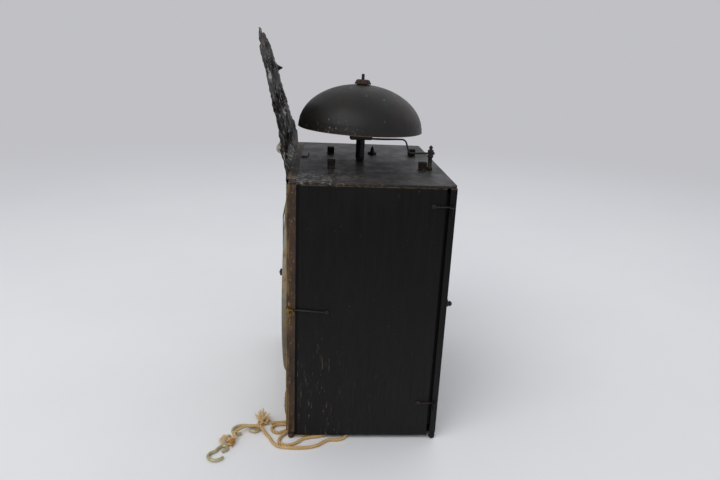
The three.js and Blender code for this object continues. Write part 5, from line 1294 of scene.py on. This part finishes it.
def mark(verts, faces, corners):
    """One painted mark: a patch between four corners of (radius, angle), lying on the dome."""
    steps = 4
    base = len(verts)
    (r0, a0), (r1, a1), (r2, a2), (r3, a3) = corners
    for lift in (0.05, -0.2):
        for i in range(steps + 1):
            t = i / steps
            left = (r0 + (r3 - r0) * t, a0 + (a3 - a0) * t)
            right_side = (r1 + (r2 - r1) * t, a1 + (a2 - a1) * t)
            for k in range(2):
                r, a = left if k == 0 else right_side
                verts.append(on_dial(r, a, lift))
    layer = 2 * (steps + 1)
    for i in range(steps):
        a = base + 2 * i
        faces += [(a, a + 1, a + 3, a + 2), (a + layer, a + layer + 2, a + layer + 3, a + layer + 1)]
        faces += [(a, a + 2, a + layer + 2, a + layer), (a + 1, a + layer + 1, a + layer + 3, a + 3)]
    faces += [(base, base + layer, base + layer + 1, base + 1)]
    end = base + 2 * steps
    faces += [(end, end + 1, end + layer + 1, end + layer)]


def stroke(verts, faces, centre, low, high, width):
    """A straight stroke of a numeral from low to high, each (sideways, upwards) in millimetres."""
    corners = []
    for (side, height), out in ((low, -1), (low, 1), (high, 1), (high, -1)):
        r = NUMERAL_R + height
        corners.append((r, centre + (side + out * width / 2) / r))
    mark(verts, faces, corners)


# Each letter's width, its strokes from foot to head with their thickness, its serifs' width and their places
LETTERS = {"I": (4.2, [(0, 0, 2.3)], 4.0, [(0, (-1, 1))]),
           "V": (9.6, [(0.4, -3.0, 2.6), (0.4, 3.2, 1.4)], 4.4, [(-3.0, (1,)), (3.2, (1,))]),
           "X": (9.6, [(3.0, -3.0, 2.6), (-3.0, 3.0, 1.4)], 4.0, [(-3.0, (-1, 1)), (3.0, (-1, 1))])}
HOURS = "XII I II III IIII V VI VII VIII IX X XI".split()


def numeral(verts, faces, text, centre):
    """Broad and thin strokes with a serif at each of their ends."""
    place = -sum(LETTERS[letter][0] for letter in text) / 2
    for letter in text:
        wide, strokes, serif_wide, serifs = LETTERS[letter]
        mid = place + wide / 2
        for foot, head, thick in strokes:
            stroke(verts, faces, centre, (mid + foot, -NUMERAL_HALF), (mid + head, NUMERAL_HALF), thick)
        for lean, ends in serifs:
            side = mid + lean
            for end in ends:
                height = end * NUMERAL_HALF
                stroke(verts, faces, centre, (side, height - 0.3), (side, height + 0.3), serif_wide)
        place += wide


def make_numerals():
    verts, faces = [], []
    for hour, text in enumerate(HOURS):
        numeral(verts, faces, text, TAU * hour / 12)
    for minute in range(60):
        angle = TAU * minute / 60
        wide = (0.9 if minute % 5 == 0 else 0.32) / 100
        left, right_side = angle - wide, angle + wide
        mark(verts, faces, [(TRACK_LOW, left), (TRACK_LOW, right_side), (TRACK_HIGH, right_side),
                            (TRACK_HIGH, left)])
        for step in range(3):
            low = angle + TAU * step / 180
            high = low + TAU / 180
            for r in (TRACK_LOW - 0.2, TRACK_HIGH):
                mark(verts, faces, [(r, low), (r, high), (r + 0.3, high), (r + 0.3, low)])
    made = mesh_object("dial_numerals", verts, faces, numeral_ink, smooth=False)
    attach(clean(made), "cage")


def circle(x, z, r, count=40):
    return [(x + r * cos(TAU * k / count), z + r * sin(TAU * k / count)) for k in range(count)]


def hand_outline(length, hub, width, ring, tail):
    """The right half of a hand's edge from its tail to its point, then mirrored."""
    ring_z = length - 2 * ring
    right_half = [(0.0, -tail), (width * 0.45, -tail + 1.0), (width * 0.62, -tail + 3.0),
                  (width * 0.3, -hub - 0.8)]
    right_half += [(hub * sin(a), -hub * cos(a)) for a in (0.5, 0.9, 1.3, 1.7, 2.1, 2.5)]
    right_half += [(width * 0.34, hub + 1.6), (width * 0.3, ring_z * 0.45), (width * 0.62, ring_z * 0.5),
                   (width * 0.3, ring_z * 0.55), (width * 0.22, ring_z - ring * 1.02)]
    right_half += [(ring * sin(a), ring_z - ring * cos(a)) for a in (0.25, 0.7, 1.2, 1.7, 2.2, 2.6, 2.9)]
    right_half += [(width * 0.16, ring_z + ring + 1.0), (width * 0.4, ring_z + ring + 2.6),
                   (width * 0.16, ring_z + ring + 4.0), (0.25, length)]
    return right_half + [(-x, z) for x, z in right_half[:0:-1] if x > 0]


def make_hand(name, body, node, y, length, hub, bore, angle):
    ring, width = 9.0, 5.0
    ring_z = length - 2 * ring
    window = circle(0, ring_z + 1.0, ring - 2.3)
    outlines = [hand_outline(length, hub, width, ring, 14), circle(0, 0, bore), window]
    made = plate_of(name, outlines, HAND_T, y, angle, forged, 0.1)
    for v in made.data.vertices:
        away = hypot(v.co.x / MM, v.co.z / MM - DIAL_Z)
        v.co.y += 4.5 * (max(0.0, away - 66) / 26) ** 1.3 * MM
    stands_for(made, body, node)


# Doors, straps and hooks

def make_door(side, name):
    """A slightly wavy sheet whose front edge lies in a rebate behind the pillar."""
    low, high = 4.4, TOP_UNDER - 0.4
    front_y, rear_y = -HALF_D + 7.2, HALF_D - 9.5
    rebate, sunk = 2.2, 0.8
    flat_y = front_y + rebate + 0.3
    rows, columns = 90, 48
    places = [front_y, front_y + rebate]
    places += [flat_y + (rear_y - front_y - rebate - 0.3) * c / columns for c in range(columns + 1)]

    def place(row, column):
        y, z = places[column], low + (high - low) * row / rows
        wave = 0.22 * noise.noise(Vector((y * 0.02, z * 0.012, side))) - 0.12
        edge = 0.35 if row in (0, rows) or column == len(places) - 1 else 0.0
        outer = HALF_W + wave - (sunk if column < 2 else edge)
        inner = HALF_W - 1.2 + edge * 0.5 * (column > 1)
        return at(side * outer, y, z), at(side * inner, y, z)

    made = sheet_of(name + "_sheet", rows + 1, len(places), place, door_black, angle=35)
    stands_for(made, name.replace("_door", "_side_door"), name)


def make_strap(side, z, body, node):
    """A wire leg along the door with its rivet, and a loop round the pintle."""
    leg_x = HALF_W + GAP + 1.0
    points = [(leg_x, HINGE_Y - 17.6, z + 0.1), (leg_x, HINGE_Y - 12, z - 0.1),
              (leg_x + 0.05, HINGE_Y - 6.5, z)]
    for turn in (196, 172, 140, 100, 60, 20, -20, -60, -100, -132):
        a = radians(turn)
        points.append((HINGE_X + 2.0 * cos(a), HINGE_Y + 2.0 * sin(a), z))
    points = [(side * x, y, h) for x, y, h in points]
    loop = wire("loop", points, lambda s: 1.0 - 0.4 * min(1.0, s / 0.5), 14, rust, 0.35)
    head = [(0, 0), (2.4, 0), (2.3, 0.5), (1.8, 1.0), (1.0, 1.5), (0, 1.7)]
    rivet = lathe("rivet", head, 28, (0, 0, 0), "Z", rust)
    face = Matrix.Translation(at(side * (HALF_W + GAP), HINGE_Y - 17, z))
    rivet.data.transform(Matrix.Translation(-at(0, 0, 0)))
    rivet.data.transform(face @ Matrix.Rotation(side * pi / 2, 4, "Y"))
    stands_for(joined(node + "_wire", [loop, rivet]), body, node)


def make_latch_hook(side, body, node):
    x, top = HALF_W + GAP + 0.85, 2.45
    stops = [(LATCH_PIVOT, 0), ((LATCH_PIVOT + LATCH_TIP) / 2, top / 2), (LATCH_TIP + 2.1, top),
             (LATCH_TIP, top), (LATCH_TIP - top, 0.65), (LATCH_TIP - top, -2.5)]
    shaft = wire("shaft", [(side * x, y, LATCH_Z + z) for y, z in stops],
                 lambda s: 0.62 + 0.23 * min(1.0, s * 3), 12, forged, 0.4)
    ring = [(side * x, LATCH_PIVOT + 1.45 * cos(TAU * k / 24), LATCH_Z + 1.45 * sin(TAU * k / 24))
            for k in range(24)]
    eye = wire("eye", ring, 0.6, 10, forged, 0.3)
    pin_line = [(side * (HALF_W + GAP + 1.7 * k / 4), LATCH_PIVOT, LATCH_Z) for k in range(5)]
    pin = wire("pin", pin_line, 0.8, 14, forged, 0.3)
    stands_for(joined(node + "_bent", [shaft, eye, pin]), body, node)


def make_tangle():
    """Fine brass wire wound roughly round the right latch peg."""
    dice = random.Random(11)
    parts = []
    for k in range(9):
        tilt, wide, tall = dice.uniform(-0.6, 0.6), dice.uniform(1.6, 3.8), dice.uniform(1.3, 2.6)
        cx, cy = HALF_W + 1.6 + dice.uniform(-0.3, 0.8), LATCH_TIP - 0.8
        cz = LATCH_Z + dice.uniform(-0.8, 0.6)
        points = []
        for i in range(15):
            a = TAU * i / 13
            points.append((cx + 0.8 * sin(a + tilt) * sin(2 * tilt) + 0.3, cy + wide * cos(a),
                           cz + tall * sin(a + tilt)))
        parts.append(wire("strand", points, 0.17, 6, fine_brass, 0.5))
    for k in range(4):
        start = (HALF_W + 1.6, LATCH_TIP - 2, LATCH_Z)
        end = (HALF_W + 1.8 + dice.uniform(0, 1), LATCH_TIP - dice.uniform(-3, 4),
               LATCH_Z - dice.uniform(-4, 7))
        bow = (HALF_W + 2.8, (start[1] + end[1]) / 2, (start[2] + end[2]) / 2 + 1)
        parts.append(wire("end", [start, bow, end], 0.15, 6, fine_brass, 0.5))
    made = joined("peg_tangle", parts)
    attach(made, "cage")


for make in (make_bell, make_bell_nut, make_bell_stand, make_stud, make_crest_wire, make_hammer_arbor,
             make_hammer_arm, make_hammer_head, make_crest, make_surround, make_dial, make_numerals):
    make()
make_hand("hour_hand_pierced", "hour_pipe", "hour_hand", HOUR_HAND_Y, 62.0, 7.5, 5.3, radians(300))
make_hand("minute_hand_pierced", "minute_arbor", "minute_hand", MINUTE_HAND_Y, 92.0, 6.2, 3.4, 0.0)
for word, side in (("left", -1), ("right", 1)):
    make_door(side, f"{word}_door")
    make_strap(side, UPPER_HINGE, f"{word}_side_door", f"{word}_upper_strap")
    make_strap(side, LOWER_HINGE, f"{word}_side_door", f"{word}_lower_strap")
    make_latch_hook(side, f"{word}_hook", f"{word}_latch_hook")
make_tangle()


# Looks and rounded edges of the frame's own nodes

LOOKS = {"dark_iron": forged, "plate_iron": plate_grey, "rusty_iron": rust, "bell_bronze": bronze,
         "steel": steel, "brass": brass, "old_brass": strip_brass, "enamel": enamel, "hook_brass": hook_wire,
         "rope": hemp}
OWN_LOOKS = {"going_front_bar": bar_steel, "going_rear_bar": bar_steel, "strike_front_bar": bar_steel,
             "strike_rear_bar": bar_steel, "back_plate": door_black, "rear_left_pillar": door_black,
             "rear_right_pillar": door_black, "back_latch": forged, "hand_nut": forged}
for part in frame["record"]["subparts"]:
    name = part["node"]
    if name not in nodes:
        continue
    mesh = nodes[name].data
    look = OWN_LOOKS.get(name, LOOKS[part["material_slot"]])
    if len(mesh.materials):
        for place in range(len(mesh.materials)):
            mesh.materials[place] = look
    else:
        mesh.materials.append(look)
    bevel = nodes[name].modifiers.new("edge", "BEVEL")
    bevel.width = 0.00025
    bevel.segments = 2
    bevel.limit_method = "ANGLE"
    bevel.angle_limit = radians(40)
